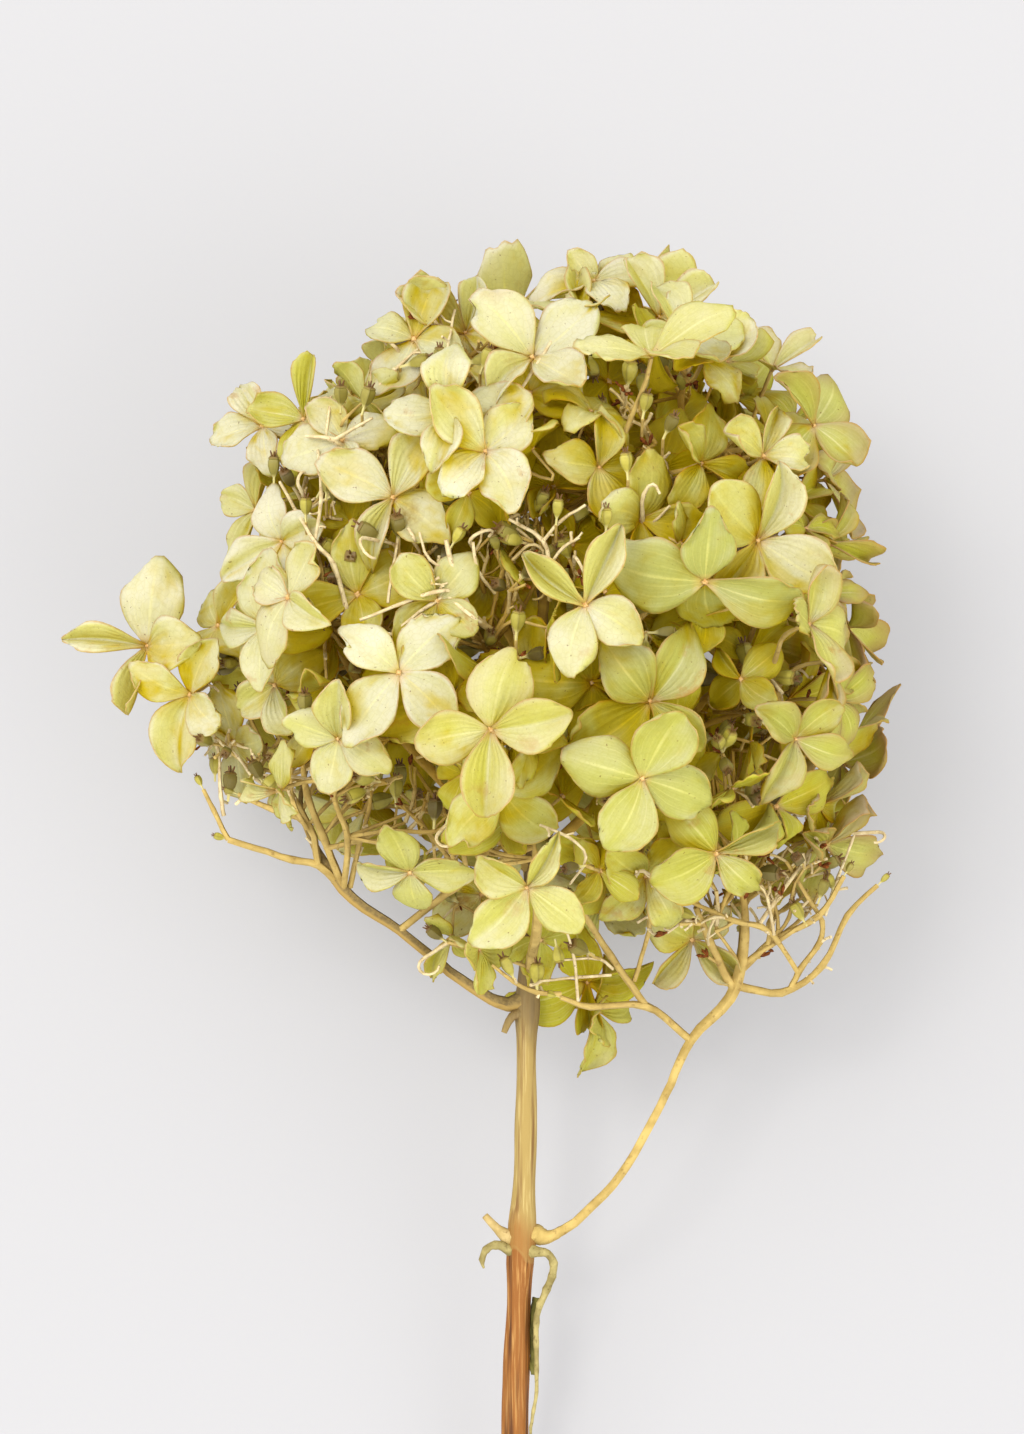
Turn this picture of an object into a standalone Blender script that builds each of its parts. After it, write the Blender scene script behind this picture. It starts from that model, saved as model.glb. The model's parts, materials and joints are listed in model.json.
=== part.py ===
"""A dried panicle hydrangea: one flower head on a cut length of its stem, laid on a table.

It is planned upright, in millimetres, in the flower's own directions: u to the right, v along the
stem towards the tip and w to the front. An empty then lays the whole of it on its back.
"""

import math
import random

import bmesh
import bpy
from mathutils import Vector

MM = 0.001
SEED = 11

# How it lies: the stem's slope, the turn about the stem, and where the flower's zero point comes
LYING_PITCH_DEG = 13.4
LYING_ROLL_DEG = 0.0
LYING_AT = (0.00675, -0.08833, 0.01673)

# It rests on the stem's cut end and on the florets nearest to these two places at the back: u, v.
# The other florets stay this far above the table.
RESTS_AT = [(-30, 166), (34, 166)]
TABLE_GAP = 1.6
BACK_FACING = 0.6

# The head: its axis, the height of its widest part, and how far it reaches from there
HEAD_U = 4.0
HEAD_MIDDLE = 147.0
HEAD_TOP = 86.0
HEAD_BOTTOM = 58.0
HALF_WIDTH = 65.0
HALF_DEPTH = 56.0
HEAD_POWER = 2.5

# The front florets were placed as a front view shows them, from this far and with this middle
VIEW_DISTANCE = 1100.0
VIEW_MIDDLE = (-2.6, 143.4)

# The stem, from its cut end to the tip of its axis: u, v, radius
STEM = [
    (-2.6, -60, 2.9),
    (-2.3, -20, 2.8),
    (-1.8, 12, 2.7),
    (-1.0, 33, 2.8),
    (-0.8, 37, 3.4),
    (-0.6, 41, 3.2),
    (-0.3, 46, 2.5),
    (0.2, 62, 2.25),
    (0.4, 80, 2.1),
    (0.5, 85, 2.6),
    (0.7, 90, 2.2),
    (1.5, 110, 1.8),
    (2.5, 140, 1.5),
    (3.6, 170, 1.2),
    (4.4, 192, 1.0),
]

# Stubs of lost side shoots and leaf stalks, grown from the stem: u, v, w, radius
STEM_STUBS = [
    [(-0.8, 38, 0, 1.4), (-4.6, 39.6, 1, 1.3), (-7.8, 44, 1.5, 0.7)],
    [(-0.8, 35.5, 0, 1.3), (-5.4, 37.6, 1, 1.0), (-8.0, 35.6, 1.5, 0.9), (-8.4, 32.5, 1.5, 0.6)],
    [(0.4, 84.5, 0.5, 1.3), (-2.6, 83.6, 2, 0.9), (-4.2, 80.4, 2.5, 0.6)],
]

# The shrivelled leaf: its stalk curls over and runs down beside the stem: u, v, w, radius
LEAF_STALK = [
    (2.9, 36.2, 2.0, 0.9),
    (4.9, 35.6, 2.4, 0.85),
    (6.2, 32.0, 2.6, 0.8),
    (4.8, 26.5, 2.4, 0.75),
    (3.4, 21.0, 2.2, 0.7),
    (3.0, 13.0, 2.0, 0.65),
    (3.0, 5.0, 1.8, 0.6),
    (1.8, -1.5, 1.6, 0.6),
]
LEAF_BLADE = {
    "top": 29.0,
    "bottom": 12.0,
    "width": 5.0,
    "thickness": 0.7,
    "beside_stem": 3.6,
    "sway": 1.2,
    "front_edge": 1.6,
    "fold": 0.5,
    "tip_share": 0.12,
    "root_share": 0.92,
    "depth_share": 0.35,
}

# Each spray: where it leaves the stem, and the middle of its share of the head
SPRAYS = {
    "spray_left_low": (86, (-46, 128, 12)),
    "spray_right_low": (39, (50, 116, 12)),
    "spray_front_low": (92, (4, 116, 48)),
    "spray_back_low": (94, (-4, 120, -44)),
    "spray_left_middle": (112, (-50, 166, 18)),
    "spray_right_middle": (114, (54, 164, 18)),
    "spray_front_middle": (126, (2, 162, 56)),
    "spray_back_left": (122, (-36, 164, -44)),
    "spray_back_right": (124, (44, 160, -42)),
    "spray_left_top": (150, (-32, 206, 12)),
    "spray_right_top": (152, (42, 208, 14)),
    "spray_front_top": (160, (6, 204, 44)),
    "spray_back_top": (158, (4, 204, -38)),
    "spray_crown": (192, (4, 232, 2)),
}

# The two branches that show bare below the head: u, v, w, radius
BRANCHES = {
    "spray_left_low": [
        (-2.9, 88.0, 0.5, 1.35),
        (-13, 92.5, 3, 1.25),
        (-25, 101, 7, 1.2),
        (-36, 109.2, 10, 1.5),
    ],
    "spray_right_low": [
        (3.3, 39.5, 0.3, 1.5),
        (10, 42.5, 2, 1.25),
        (19, 52, 3, 1.15),
        (27, 66, 4, 1.1),
        (33, 79, 5, 1.25),
        (42, 90, 6, 1.7),
    ],
}

# Bare twigs with capsules at the edge of the head, each from a place on its branch: u, v, w, radius
BARE_TWIGS = {
    "spray_left_low": [
        [(-36, 109.2, 10, 1.1), (-41, 114, 9, 1.0), (-46, 115, 8, 0.85), (-59, 119, 6, 0.8)],
        [(-59, 119, 6, 0.7), (-62, 125, 6, 0.55), (-64, 129, 6, 0.5)],
        [(-41, 114, 9, 0.9), (-43, 122, 9, 0.85), (-50, 125, 8, 0.7), (-57, 128, 7, 0.6)],
        [(-43, 122, 9, 0.8), (-48, 131, 9, 0.75), (-53, 139, 6, 0.7), (-55, 144, 4, 0.6)],
        [(-36, 109.2, 10, 1.0), (-40, 120, 13, 0.9), (-43, 128, 15, 0.8), (-44, 136, 15, 0.6)],
        [(-25, 101, 7, 0.95), (-14, 109.6, 14, 0.9), (-3, 116, 21, 0.8), (4, 119, 25, 0.6)],
    ],
    "spray_right_low": [
        [(33, 79, 5, 0.95), (24, 86, 8, 0.9), (13, 86, 11, 0.75), (7, 88, 13, 0.6)],
        [(24, 86, 8, 0.9), (17, 96, 10, 0.85), (10, 107, 14, 0.75)],
        [(42, 90, 6, 1.1), (51, 88.6, 7, 0.9), (59, 94, 8, 0.8), (64, 104, 8, 0.7), (70, 110, 8, 0.6)],
        [(43, 93, 6, 0.9), (49, 99, 9, 0.8), (58, 104, 12, 0.7), (63, 112, 13, 0.6)],
    ],
}

# The florets that face the front, one by one: u, v, depth off the head's surface,
# lean of the face to the right and to the tip, turn of the first sepal and length of a sepal
FRONT_FLORETS = [
    (-73.8, 157.6, 4, -0.30, 0.10, 82, 17.0),
    (-69.4, 148.2, 10, -0.35, -0.20, 62, 14.5),
    (-52.4, 201.6, 10, -0.40, 0.30, 10, 12.0),
    (-44.2, 202.8, 0, -0.30, 0.40, 75, 13.0),
    (-14.4, 202.2, 6, -0.10, 0.35, 2, 15.5),
    (-26.8, 188.4, 2, -0.20, 0.20, 55, 15.5),
    (-8.2, 190.6, -2, 0.00, 0.30, 42, 15.5),
    (-21.2, 217.4, 2, -0.10, 0.50, 75, 13.0),
    (-12.0, 223.2, -4, -0.10, 0.30, 68, 13.5),
    (7.6, 218.4, 2, 0.00, 0.35, 40, 15.5),
    (8.4, 230.0, 2, 0.00, 0.75, 20, 12.0),
    (27.2, 226.2, 0, 0.10, 0.60, 30, 12.5),
    (29.8, 216.8, 4, 0.20, 0.65, 15, 14.0),
    (24.6, 209.8, 8, 0.10, 0.80, 10, 15.0),
    (52.4, 215.8, 4, 0.30, 0.85, 5, 12.0),
    (40.0, 211.8, 6, 0.30, 0.70, 20, 14.0),
    (54.0, 202.2, 8, 0.35, 0.25, 38, 13.5),
    (46.4, 180.2, 2, 0.30, 0.05, 58, 17.5),
    (37.4, 171.8, 8, 0.10, -0.55, 0, 17.0),
    (11.0, 165.2, 6, 0.00, 0.10, 65, 15.5),
    (9.8, 196.4, -2, 0.50, 0.10, 85, 13.0),
    (-24.4, 149.2, 2, -0.10, 0.20, 50, 16.5),
    (-15.6, 146.2, -3, -0.05, -0.10, 25, 16.5),
    (-3.4, 142.0, 4, 0.00, -0.10, 82, 17.0),
    (27.8, 148.2, 4, 0.10, 0.00, 42, 16.5),
    (17.4, 131.0, 2, 0.20, -0.20, 70, 16.0),
    (1.2, 109.4, 2, -0.10, -0.35, 55, 15.5),
    (40.4, 119.2, 4, 0.25, -0.30, 35, 15.0),
    (13.6, 153.2, -8, 0.00, -0.10, -5, 15.0),
    (50.0, 136.2, 4, 0.50, -0.05, 55, 14.0),
    (33.4, 99.0, -22, 0.10, -0.40, 60, 12.5),
    (10.6, 89.2, -12, 0.00, -0.50, 10, 13.5),
    (-51.8, 161.6, 8, -0.50, 0.00, 85, 16.0),
    (-47.2, 167.2, 16, -0.70, 0.10, 60, 13.0),
    (-60.6, 160.2, -4, -0.50, 0.30, 60, 12.0),
    (-39.0, 138.8, 4, -0.30, -0.20, 70, 12.0),
    (-48.8, 182.8, 2, -0.40, -0.20, 20, 12.5),
    (-58.6, 186.8, -6, -0.75, 0.10, 70, 13.0),
    (-37.0, 210.0, -6, -0.30, 0.50, 80, 12.0),
    (64.0, 190.8, 0, 0.92, 0.10, 80, 12.5),
    (64.6, 174.8, 4, 0.85, 0.10, 60, 11.5),
    (64.0, 146.8, 4, 0.80, -0.10, 40, 12.5),
    (66.0, 126.8, 6, 0.75, -0.30, 10, 12.0),
    (52.0, 161.8, 12, 0.75, 0.20, 80, 13.0),
    (-23.0, 112.4, -16, -0.20, -0.50, 0, 12.0),
    (-61.6, 140.4, 1, -0.70, -0.30, 85, 12.0),
    (-5.0, 131.8, -6, 0.00, -0.30, 30, 13.5),
    (26.0, 126.8, -9, 0.10, -0.20, 30, 15.5),
    (3.0, 152.8, -12, 0.00, 0.00, 10, 13.0),
    (32.0, 195.0, 0, 0.60, 0.20, 60, 12.5),
    (26.0, 184.8, -4, 0.60, -0.10, 75, 12.5),
    (43.0, 199.0, 2, 0.45, 0.35, 75, 11.5),
    (-32.0, 166.8, -14, -0.20, 0.10, 20, 14.0),
    (-8.0, 170.0, -20, 0.00, 0.20, 50, 13.0),
    (59.0, 154.8, 0, 0.80, 0.00, 60, 13.0),
    (62.0, 117.0, 0, 0.70, -0.35, 80, 13.0),
    (10.0, 178.0, -16, 0.10, 0.10, 30, 12.5),
    (8.0, 137.0, -10, 0.10, -0.20, 60, 13.0),
    (24.0, 112.0, -6, 0.10, -0.45, 50, 13.5),
    (26.0, 163.0, -10, 0.20, 0.00, 40, 13.5),
    (-36.0, 194.0, -6, -0.30, 0.30, 30, 13.0),
    (1.0, 208.0, -8, 0.00, 0.40, 60, 13.0),
    (-50.0, 151.0, -2, -0.45, -0.20, 30, 13.0),
]

# The rest of the head is filled by a rule, down to an edge that rises to the left
UNDERSIDE_V = 110.0
UNDERSIDE_SLOPE = -0.36
RULE_COUNT = 120
RULE_ROOM = 19.0
RULE_LOWEST = 0.72
RULE_HIGHEST = 0.98
RULE_SIZE = (13.5, 16.5)
RULE_DEPTH = (-9.0, 1.0)
RULE_LEAN = 0.225

# A floret's own shape: its outline as degrees off a sepal's middle and shares of the sepal's
# length, then how much its sepals differ in length, width, lift, twist and arch
SEPALS = 4
NOTCH_REACH = 0.16
SEPAL_OUTLINE = [(-37, 0.5), (-25, 0.86), (0, 1.02), (25, 0.86), (37, 0.5)]
SEPAL_THICKNESS = 0.7
SEPAL_LENGTH = (0.84, 1.08)
SEPAL_WIDTH = (0.82, 1.1)
SEPAL_LIFT = (-0.12, 0.3)
SEPAL_TWIST = (-0.16, 0.16)
SEPAL_ARCH = (-0.02, 0.12)

# How florets that would meet are pushed apart: sweeps, the gap between them, the share of what
# is missing that each sweep gives, and the most that it makes up for
SETTLE_SWEEPS = 40
SETTLE_GAP = 1.6
SETTLE_SHARE = 0.25
SETTLE_MOST = 2.0
FACE_REACH = 1.05

# Twigs: the stalk of a floret, how they thicken and fork, and how a spray starts off the stem
PEDICEL = 7.0
PEDICEL_RADIUS = 0.5
PEDICEL_BEND = 0.7
PEDICEL_SINK = 0.25
TWIG_GROWTH = 0.42
SIDE_TWIG_SHARE = 0.8
FORK_REACH = 0.6
BRANCH_RADIUS = 1.2
BRANCH_FLARE = 1.1
BRANCH_REACH = 0.5
STEM_GAP = 0.35

# A capsule on its stalk, as places along it and radii; it grows where a twig carries more
# florets than this, and leans off the twig's way
CAPSULE = [(0.0, 0.4), (2.6, 0.4), (5.0, 1.3), (6.6, 0.75)]
CAPSULE_FORK = 2
CAPSULE_LEAN = 0.4


def head_share(v):
    """How wide the head is at height v, as a share of its widest."""
    reach = HEAD_TOP if v > HEAD_MIDDLE else HEAD_BOTTOM
    share = min(abs(v - HEAD_MIDDLE) / reach, 1.0)
    return (1 - share**HEAD_POWER) ** (1 / HEAD_POWER)


def front_depth(u, v):
    """How far the head's surface stands to the front at u, v."""
    inside = head_share(v) ** 2 - ((u - HEAD_U) / HALF_WIDTH) ** 2
    return HALF_DEPTH * math.sqrt(max(0.0, inside))


def surface_normal(place):
    """The way out of the head at a place on its surface."""
    slope = (head_share(place.y - 1) ** 2 - head_share(place.y + 1) ** 2) / 2
    across = 2 * (place.x - HEAD_U) / HALF_WIDTH**2
    along = 2 * place.z / HALF_DEPTH**2
    return Vector((across, slope, along)).normalized()


def new_floret(rng, centre, normal, spin, size):
    """One sterile floret: a place, a direction and the form of each of its four sepals."""
    sepals = []
    for _ in range(SEPALS):
        sepals.append(
            {
                "length": rng.uniform(*SEPAL_LENGTH),
                "width": rng.uniform(*SEPAL_WIDTH),
                "lift": rng.uniform(*SEPAL_LIFT),
                "twist": rng.uniform(*SEPAL_TWIST),
                "arch": rng.uniform(*SEPAL_ARCH),
            }
        )
    return {
        "centre": centre,
        "normal": normal.normalized(),
        "spin": math.radians(spin),
        "size": size,
        "sepals": sepals,
    }


def front_florets(rng):
    """The florets placed one by one, moved from the front view to where they stand."""
    found = []
    for u, v, out, lean_u, lean_v, spin, size in FRONT_FLORETS:
        w = front_depth(u, v) + out
        nearer = 1 - w / VIEW_DISTANCE
        centre = Vector(
            (
                VIEW_MIDDLE[0] + (u - VIEW_MIDDLE[0]) * nearer,
                VIEW_MIDDLE[1] + (v - VIEW_MIDDLE[1]) * nearer,
                w,
            )
        )
        facing = math.sqrt(max(0.0, 1 - lean_u**2 - lean_v**2))
        found.append(new_floret(rng, centre, Vector((lean_u, lean_v, facing)), spin, size))
    return found


def rule_florets(rng, taken):
    """Florets on a golden spiral round the head, where none stands yet."""
    found = []
    turn = math.pi * (3 - math.sqrt(5))
    lowest = HEAD_MIDDLE - RULE_LOWEST * HEAD_BOTTOM
    highest = HEAD_MIDDLE + RULE_HIGHEST * HEAD_TOP
    for k in range(RULE_COUNT):
        v = lowest + (highest - lowest) * (k + 0.5) / RULE_COUNT
        share = head_share(v)
        across = HALF_WIDTH * share * math.cos(turn * k)
        along = HALF_DEPTH * share * math.sin(turn * k)
        place = Vector((HEAD_U + across, v, along))
        normal = surface_normal(place)
        out = rng.uniform(*RULE_DEPTH)
        lean = Vector((rng.gauss(0, 1), rng.gauss(0, 1), rng.gauss(0, 1))) * RULE_LEAN
        spin = rng.uniform(0, 90)
        size = rng.uniform(*RULE_SIZE)
        centre = place + normal * out
        near = min((centre - other["centre"]).length for other in taken + found)
        if near > RULE_ROOM and centre.y > UNDERSIDE_V + UNDERSIDE_SLOPE * centre.x:
            found.append(new_floret(rng, centre, normal + lean, spin, size))
    return found


def face_axes(floret):
    """Two directions in the floret's face, the first as level as it can be."""
    normal = floret["normal"]
    first = Vector((0, 1, 0)).cross(normal)
    if first.length < 0.1:
        first = Vector((1, 0, 0))
    first.normalize()
    return first, normal.cross(first)


def sepal_edge(floret):
    """The outline of a floret's sepals, from notch to notch and back to the first."""
    first, second = face_axes(floret)
    edge = []
    for k, sepal in enumerate(floret["sepals"]):
        turn = floret["spin"] + k * math.tau / SEPALS
        points = [(turn - math.pi / SEPALS, NOTCH_REACH, 0.0)]
        for offset, share in SEPAL_OUTLINE:
            angle = turn + math.radians(offset) * sepal["width"] + sepal["twist"] * share
            reach = share * sepal["length"]
            height = sepal["lift"] * reach + sepal["arch"] * math.sin(math.pi * share)
            points.append((angle, reach, height))
        for angle, reach, height in points:
            level = first * math.cos(angle) + second * math.sin(angle)
            edge.append(floret["centre"] + (level * reach + floret["normal"] * height) * floret["size"])
    return edge


def above_table(place):
    """How high a place comes above the table that the stem's cut end lies on."""
    slope = math.radians(LYING_PITCH_DEG)
    _, cut, radius = STEM[0]
    return (place.y - cut) * math.sin(slope) + (place.z + radius) * math.cos(slope)


def table_shift(floret, gap):
    """How far a floret moves to the front for its lowest sepal to come this far above the table."""
    lowest = min(above_table(place) for place in sepal_edge(floret)) - SEPAL_THICKNESS / 2
    return Vector((0, 0, gap - lowest))


def settle(florets):
    """Moves florets that would cut through each other apart, and off the table they lie on."""
    back = [floret for floret in florets if floret["normal"].z < -BACK_FACING]
    resting = []
    for u, v in RESTS_AT:
        spot = Vector((u, v))
        resting.append(min(back, key=lambda floret: (floret["centre"].xy - spot).length))
    for sweep in range(SETTLE_SWEEPS + 1):
        for floret in florets:
            if floret in resting:
                floret["centre"] += table_shift(floret, 0.0)
            elif table_shift(floret, TABLE_GAP).z > 0:
                floret["centre"] += table_shift(floret, TABLE_GAP)
        if sweep < SETTLE_SWEEPS:
            part_florets(florets)


def part_florets(florets):
    """One sweep of pushing apart each two florets that would meet."""
    for one in florets:
        edge = sepal_edge(one)
        for other in florets:
            between = one["centre"] - other["centre"]
            if one is other or between.length > one["size"] + other["size"]:
                continue
            heights = [above_face(other, place) for place in edge]
            heights = [height for height in heights if height is not None]
            if not heights:
                continue
            side = 1 if between.dot(other["normal"]) > 0 else -1
            short = SETTLE_GAP - min(side * height for height in heights)
            if short > 0:
                push = other["normal"] * side * min(short, SETTLE_MOST) * SETTLE_SHARE
                one["centre"] += push
                other["centre"] -= push
                edge = [place + push for place in edge]


def above_face(floret, place):
    """How high a place stands over a floret's lifted sepals, or None where it is past them."""
    away = place - floret["centre"]
    height = away.dot(floret["normal"])
    level = away - height * floret["normal"]
    reach = level.length / floret["size"]
    if reach > FACE_REACH:
        return None
    first, second = face_axes(floret)
    angle = math.atan2(level.dot(second), level.dot(first)) - floret["spin"]
    sepal = floret["sepals"][round(angle * SEPALS / math.tau) % SEPALS]
    return height - sepal["lift"] * level.length


def stem_at(v):
    """The stem's middle and radius at height v."""
    for (u0, v0, r0), (u1, v1, r1) in zip(STEM, STEM[1:]):
        if v0 <= v <= v1:
            share = (v - v0) / (v1 - v0)
            return Vector((u0 + (u1 - u0) * share, v, 0)), r0 + (r1 - r0) * share
    return Vector((STEM[-1][0], STEM[-1][1], 0)), STEM[-1][2]


def twig_radius(carried):
    """A twig is thicker the more florets it carries."""
    return PEDICEL_RADIUS * carried**TWIG_GROWTH


def fork(florets):
    """Parts florets in two groups, about the two that are furthest apart."""
    far = max(
        ((a, b) for a in florets for b in florets),
        key=lambda pair: (pair[0]["centre"] - pair[1]["centre"]).length,
    )
    groups = [[], []]
    for floret in florets:
        nearer = [(floret["centre"] - end["centre"]).length for end in far]
        groups[0 if nearer[0] <= nearer[1] else 1].append(floret)
    return groups


def pedicel_foot(floret, start):
    """Where a floret's stalk bends to its face, coming from start without a sharp turn."""
    ahead = (floret["centre"] - start).normalized()
    return floret["centre"] - (floret["normal"] + ahead * PEDICEL_BEND).normalized() * PEDICEL


def next_joint(start, group):
    """Where a twig that carries this group ends or divides next."""
    feet = [pedicel_foot(floret, start) for floret in group]
    middle = sum(feet, Vector((0, 0, 0))) / len(feet)
    return middle if len(group) == 1 else start.lerp(middle, FORK_REACH)


def grow(path, florets, twigs, capsules, rng):
    """Lengthens path until it ends in one floret, and starts a new twig at each fork."""
    start, thickness = path[-1]
    if len(florets) == 1:
        floret = florets[0]
        path.append((pedicel_foot(floret, start), PEDICEL_RADIUS))
        path.append((floret["centre"] - floret["normal"] * PEDICEL_SINK, PEDICEL_RADIUS))
        twigs.append(path)
        return
    groups = fork(florets)
    onward = start - path[-2][0]
    groups.sort(key=lambda group: onward.dot((next_joint(start, group) - start).normalized()))
    aside, ahead = groups
    side_twig = [(start, min(twig_radius(len(aside)), thickness * SIDE_TWIG_SHARE))]
    for group, twig in ((aside, side_twig), (ahead, path)):
        if len(group) > 1:
            joint = next_joint(start, group)
            twig.append((joint, twig_radius(len(group))))
        if len(group) > CAPSULE_FORK:
            lean = Vector((rng.gauss(0, 1), rng.gauss(0, 1), rng.gauss(0, 1))) * CAPSULE_LEAN
            capsules.append((joint, ((joint - start).normalized() + lean).normalized()))
        grow(twig, group, twigs, capsules, rng)


def spray_branch(name):
    """The branch that carries a spray, from just off the stem to its first fork."""
    if name in BRANCHES:
        return [(Vector(point[:3]), point[3]) for point in BRANCHES[name]]
    height, middle = SPRAYS[name]
    root, stem_radius = stem_at(height)
    ahead = Vector(middle) - root
    radius = BRANCH_RADIUS
    if name == "spray_crown":
        start = root + Vector((0, STEM_GAP, 0))
        radius = STEM[-1][2]
    else:
        slope = ahead.angle(Vector((0, 1, 0)))
        clear = stem_radius + STEM_GAP + radius * abs(math.cos(slope))
        start = root + ahead.normalized() * clear / math.sin(slope)
    return [(start, radius * BRANCH_FLARE), (root + ahead * BRANCH_REACH, radius)]


def plan():
    """The whole head: each spray's branch, twigs, capsules and florets."""
    rng = random.Random(SEED)
    florets = front_florets(rng)
    florets += rule_florets(rng, florets)
    settle(florets)
    sprays = {}
    for name in SPRAYS:
        sprays[name] = {"florets": [], "twigs": [], "capsules": []}
    for floret in florets:
        foot = floret["centre"] - floret["normal"] * PEDICEL
        nearest = min(SPRAYS, key=lambda name: (foot - Vector(SPRAYS[name][1])).length)
        sprays[nearest]["florets"].append(floret)
    for name, spray in sprays.items():
        branch = spray_branch(name)
        for twig in BARE_TWIGS.get(name, []):
            spray["twigs"].append([(Vector(point[:3]), point[3]) for point in twig])
            tip = Vector(twig[-1][:3])
            before = Vector(twig[-2][:3])
            spray["capsules"].append((tip, (tip - before).normalized()))
        grow(branch, spray["florets"], spray["twigs"], spray["capsules"], rng)
    return sprays


def material(name, colour, roughness):
    made = bpy.data.materials.new(name)
    made.use_nodes = True
    shader = made.node_tree.nodes["Principled BSDF"]
    shader.inputs["Base Color"].default_value = (*colour, 1)
    shader.inputs["Roughness"].default_value = roughness
    made.diffuse_color = (*colour, 1)
    return made


def mesh_object(name, obj, collection, weld=False):
    """The evaluated mesh of obj as a new object, with a tube's loose caps welded. obj is removed."""
    graph = bpy.context.evaluated_depsgraph_get()
    mesh = bpy.data.meshes.new_from_object(obj.evaluated_get(graph))
    mesh.name = name
    if weld:
        cleaned = bmesh.new()
        cleaned.from_mesh(mesh)
        bmesh.ops.remove_doubles(cleaned, verts=cleaned.verts, dist=0.001 * MM)
        bmesh.ops.recalc_face_normals(cleaned, faces=cleaned.faces)
        cleaned.to_mesh(mesh)
        cleaned.free()
    made = bpy.data.objects.new(name, mesh)
    made.matrix_world = obj.matrix_world.copy()
    collection.objects.link(made)
    bpy.data.objects.remove(obj)
    return made


def tube(name, points, collection, bevel_resolution=0):
    """A tapered twig or stem along points, each a place and a radius in millimetres."""
    curve = bpy.data.curves.new(name, "CURVE")
    curve.dimensions = "3D"
    curve.bevel_depth = 1.0
    curve.bevel_resolution = bevel_resolution
    curve.use_fill_caps = True
    spline = curve.splines.new("POLY")
    spline.points.add(len(points) - 1)
    for point, (place, radius) in zip(spline.points, points):
        point.co = (*(place * MM), 1)
        point.radius = radius * MM
    obj = bpy.data.objects.new(name, curve)
    collection.objects.link(obj)
    bpy.context.view_layer.update()
    return mesh_object(name, obj, collection, weld=True)


def floret_solid(name, floret, collection):
    """Four sepals round one middle: a filled circle, cut and drawn out into lobes and thickened."""
    mesh = bpy.data.meshes.new(name)
    rosette = bmesh.new()
    steps = len(SEPAL_OUTLINE) + 1
    bmesh.ops.create_circle(rosette, cap_ends=True, segments=SEPALS * steps, radius=1)
    vertices = sorted(rosette.verts, key=lambda v: round(math.atan2(v.co.y, v.co.x) % math.tau, 3))
    for k in range(SEPALS):
        lobe = [vertices[(k * steps + step) % len(vertices)] for step in range(steps + 1)]
        for left, right in ((0, steps), (1, steps - 1), (2, steps - 2)):
            bmesh.ops.connect_verts(rosette, verts=[lobe[left], lobe[right]])
    for vertex, place in zip(vertices, sepal_edge(floret)):
        vertex.co = place * MM
    bmesh.ops.triangulate(rosette, faces=rosette.faces)
    bmesh.ops.recalc_face_normals(rosette, faces=rosette.faces)
    rosette.to_mesh(mesh)
    rosette.free()
    obj = bpy.data.objects.new(name, mesh)
    collection.objects.link(obj)
    thick = obj.modifiers.new("thickness", "SOLIDIFY")
    thick.thickness = SEPAL_THICKNESS * MM
    thick.offset = 0
    bpy.context.view_layer.update()
    return mesh_object(name, obj, collection)


def capsule_path(root, heading):
    """A fertile flower gone to seed: a short stalk that swells into an urn-shaped capsule."""
    return [(root + heading * along, radius) for along, radius in CAPSULE]


def united(name, pieces, finish, collection):
    """Joins pieces that grew together into one closed body, and removes them."""
    others = bpy.data.collections.new(name + "_pieces")
    bpy.context.scene.collection.children.link(others)
    body = pieces[0]
    for piece in pieces[1:]:
        others.objects.link(piece)
    join = body.modifiers.new("join", "BOOLEAN")
    join.operation = "UNION"
    join.operand_type = "COLLECTION"
    join.collection = others
    join.solver = "MANIFOLD"
    bpy.context.view_layer.update()
    made = mesh_object(name, body, collection)
    made.data.materials.clear()
    made.data.materials.append(finish)
    for piece in pieces[1:]:
        bpy.data.objects.remove(piece)
    bpy.data.collections.remove(others)
    return made


def build_stem(collection, finish):
    points = [(Vector((u, v, 0)), radius) for u, v, radius in STEM]
    pieces = [tube("stem_rod", points, collection, 2)]
    for k, stub in enumerate(STEM_STUBS):
        path = [(Vector(point[:3]), point[3]) for point in stub]
        pieces.append(tube(f"stub_{k}", path, collection, 1))
    return united("stem", pieces, finish, collection)


def build_leaf(collection, finish):
    """The shrivelled leaf: a curled stalk with what is left of the blade folded along it."""
    path = [(Vector(point[:3]), point[3]) for point in LEAF_STALK]
    stalk = tube("leaf_stalk", path, collection, 1)
    blade = LEAF_BLADE
    mesh = bpy.data.meshes.new("leaf_blade")
    strip = bmesh.new()
    bmesh.ops.create_grid(strip, x_segments=2, y_segments=6, size=1)
    for vertex in strip.verts:
        along = (1 - vertex.co.y) / 2
        across = vertex.co.x
        share = blade["tip_share"] + (blade["root_share"] - blade["tip_share"]) * along
        width = blade["width"] * math.sin(math.pi * share)
        v = blade["top"] + (blade["bottom"] - blade["top"]) * along
        u = blade["beside_stem"] + blade["sway"] * math.cos(math.pi * along)
        u += blade["fold"] * abs(across)
        w = blade["front_edge"] - width * blade["depth_share"] * (1 + across)
        vertex.co = Vector((u, v, w)) * MM
    strip.to_mesh(mesh)
    strip.free()
    obj = bpy.data.objects.new("leaf_blade", mesh)
    collection.objects.link(obj)
    thick = obj.modifiers.new("thickness", "SOLIDIFY")
    thick.thickness = blade["thickness"] * MM
    thick.offset = 0
    bpy.context.view_layer.update()
    blade_solid = mesh_object("leaf_blade", obj, collection)
    return united("dried_leaf", [stalk, blade_solid], finish, collection)


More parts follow.
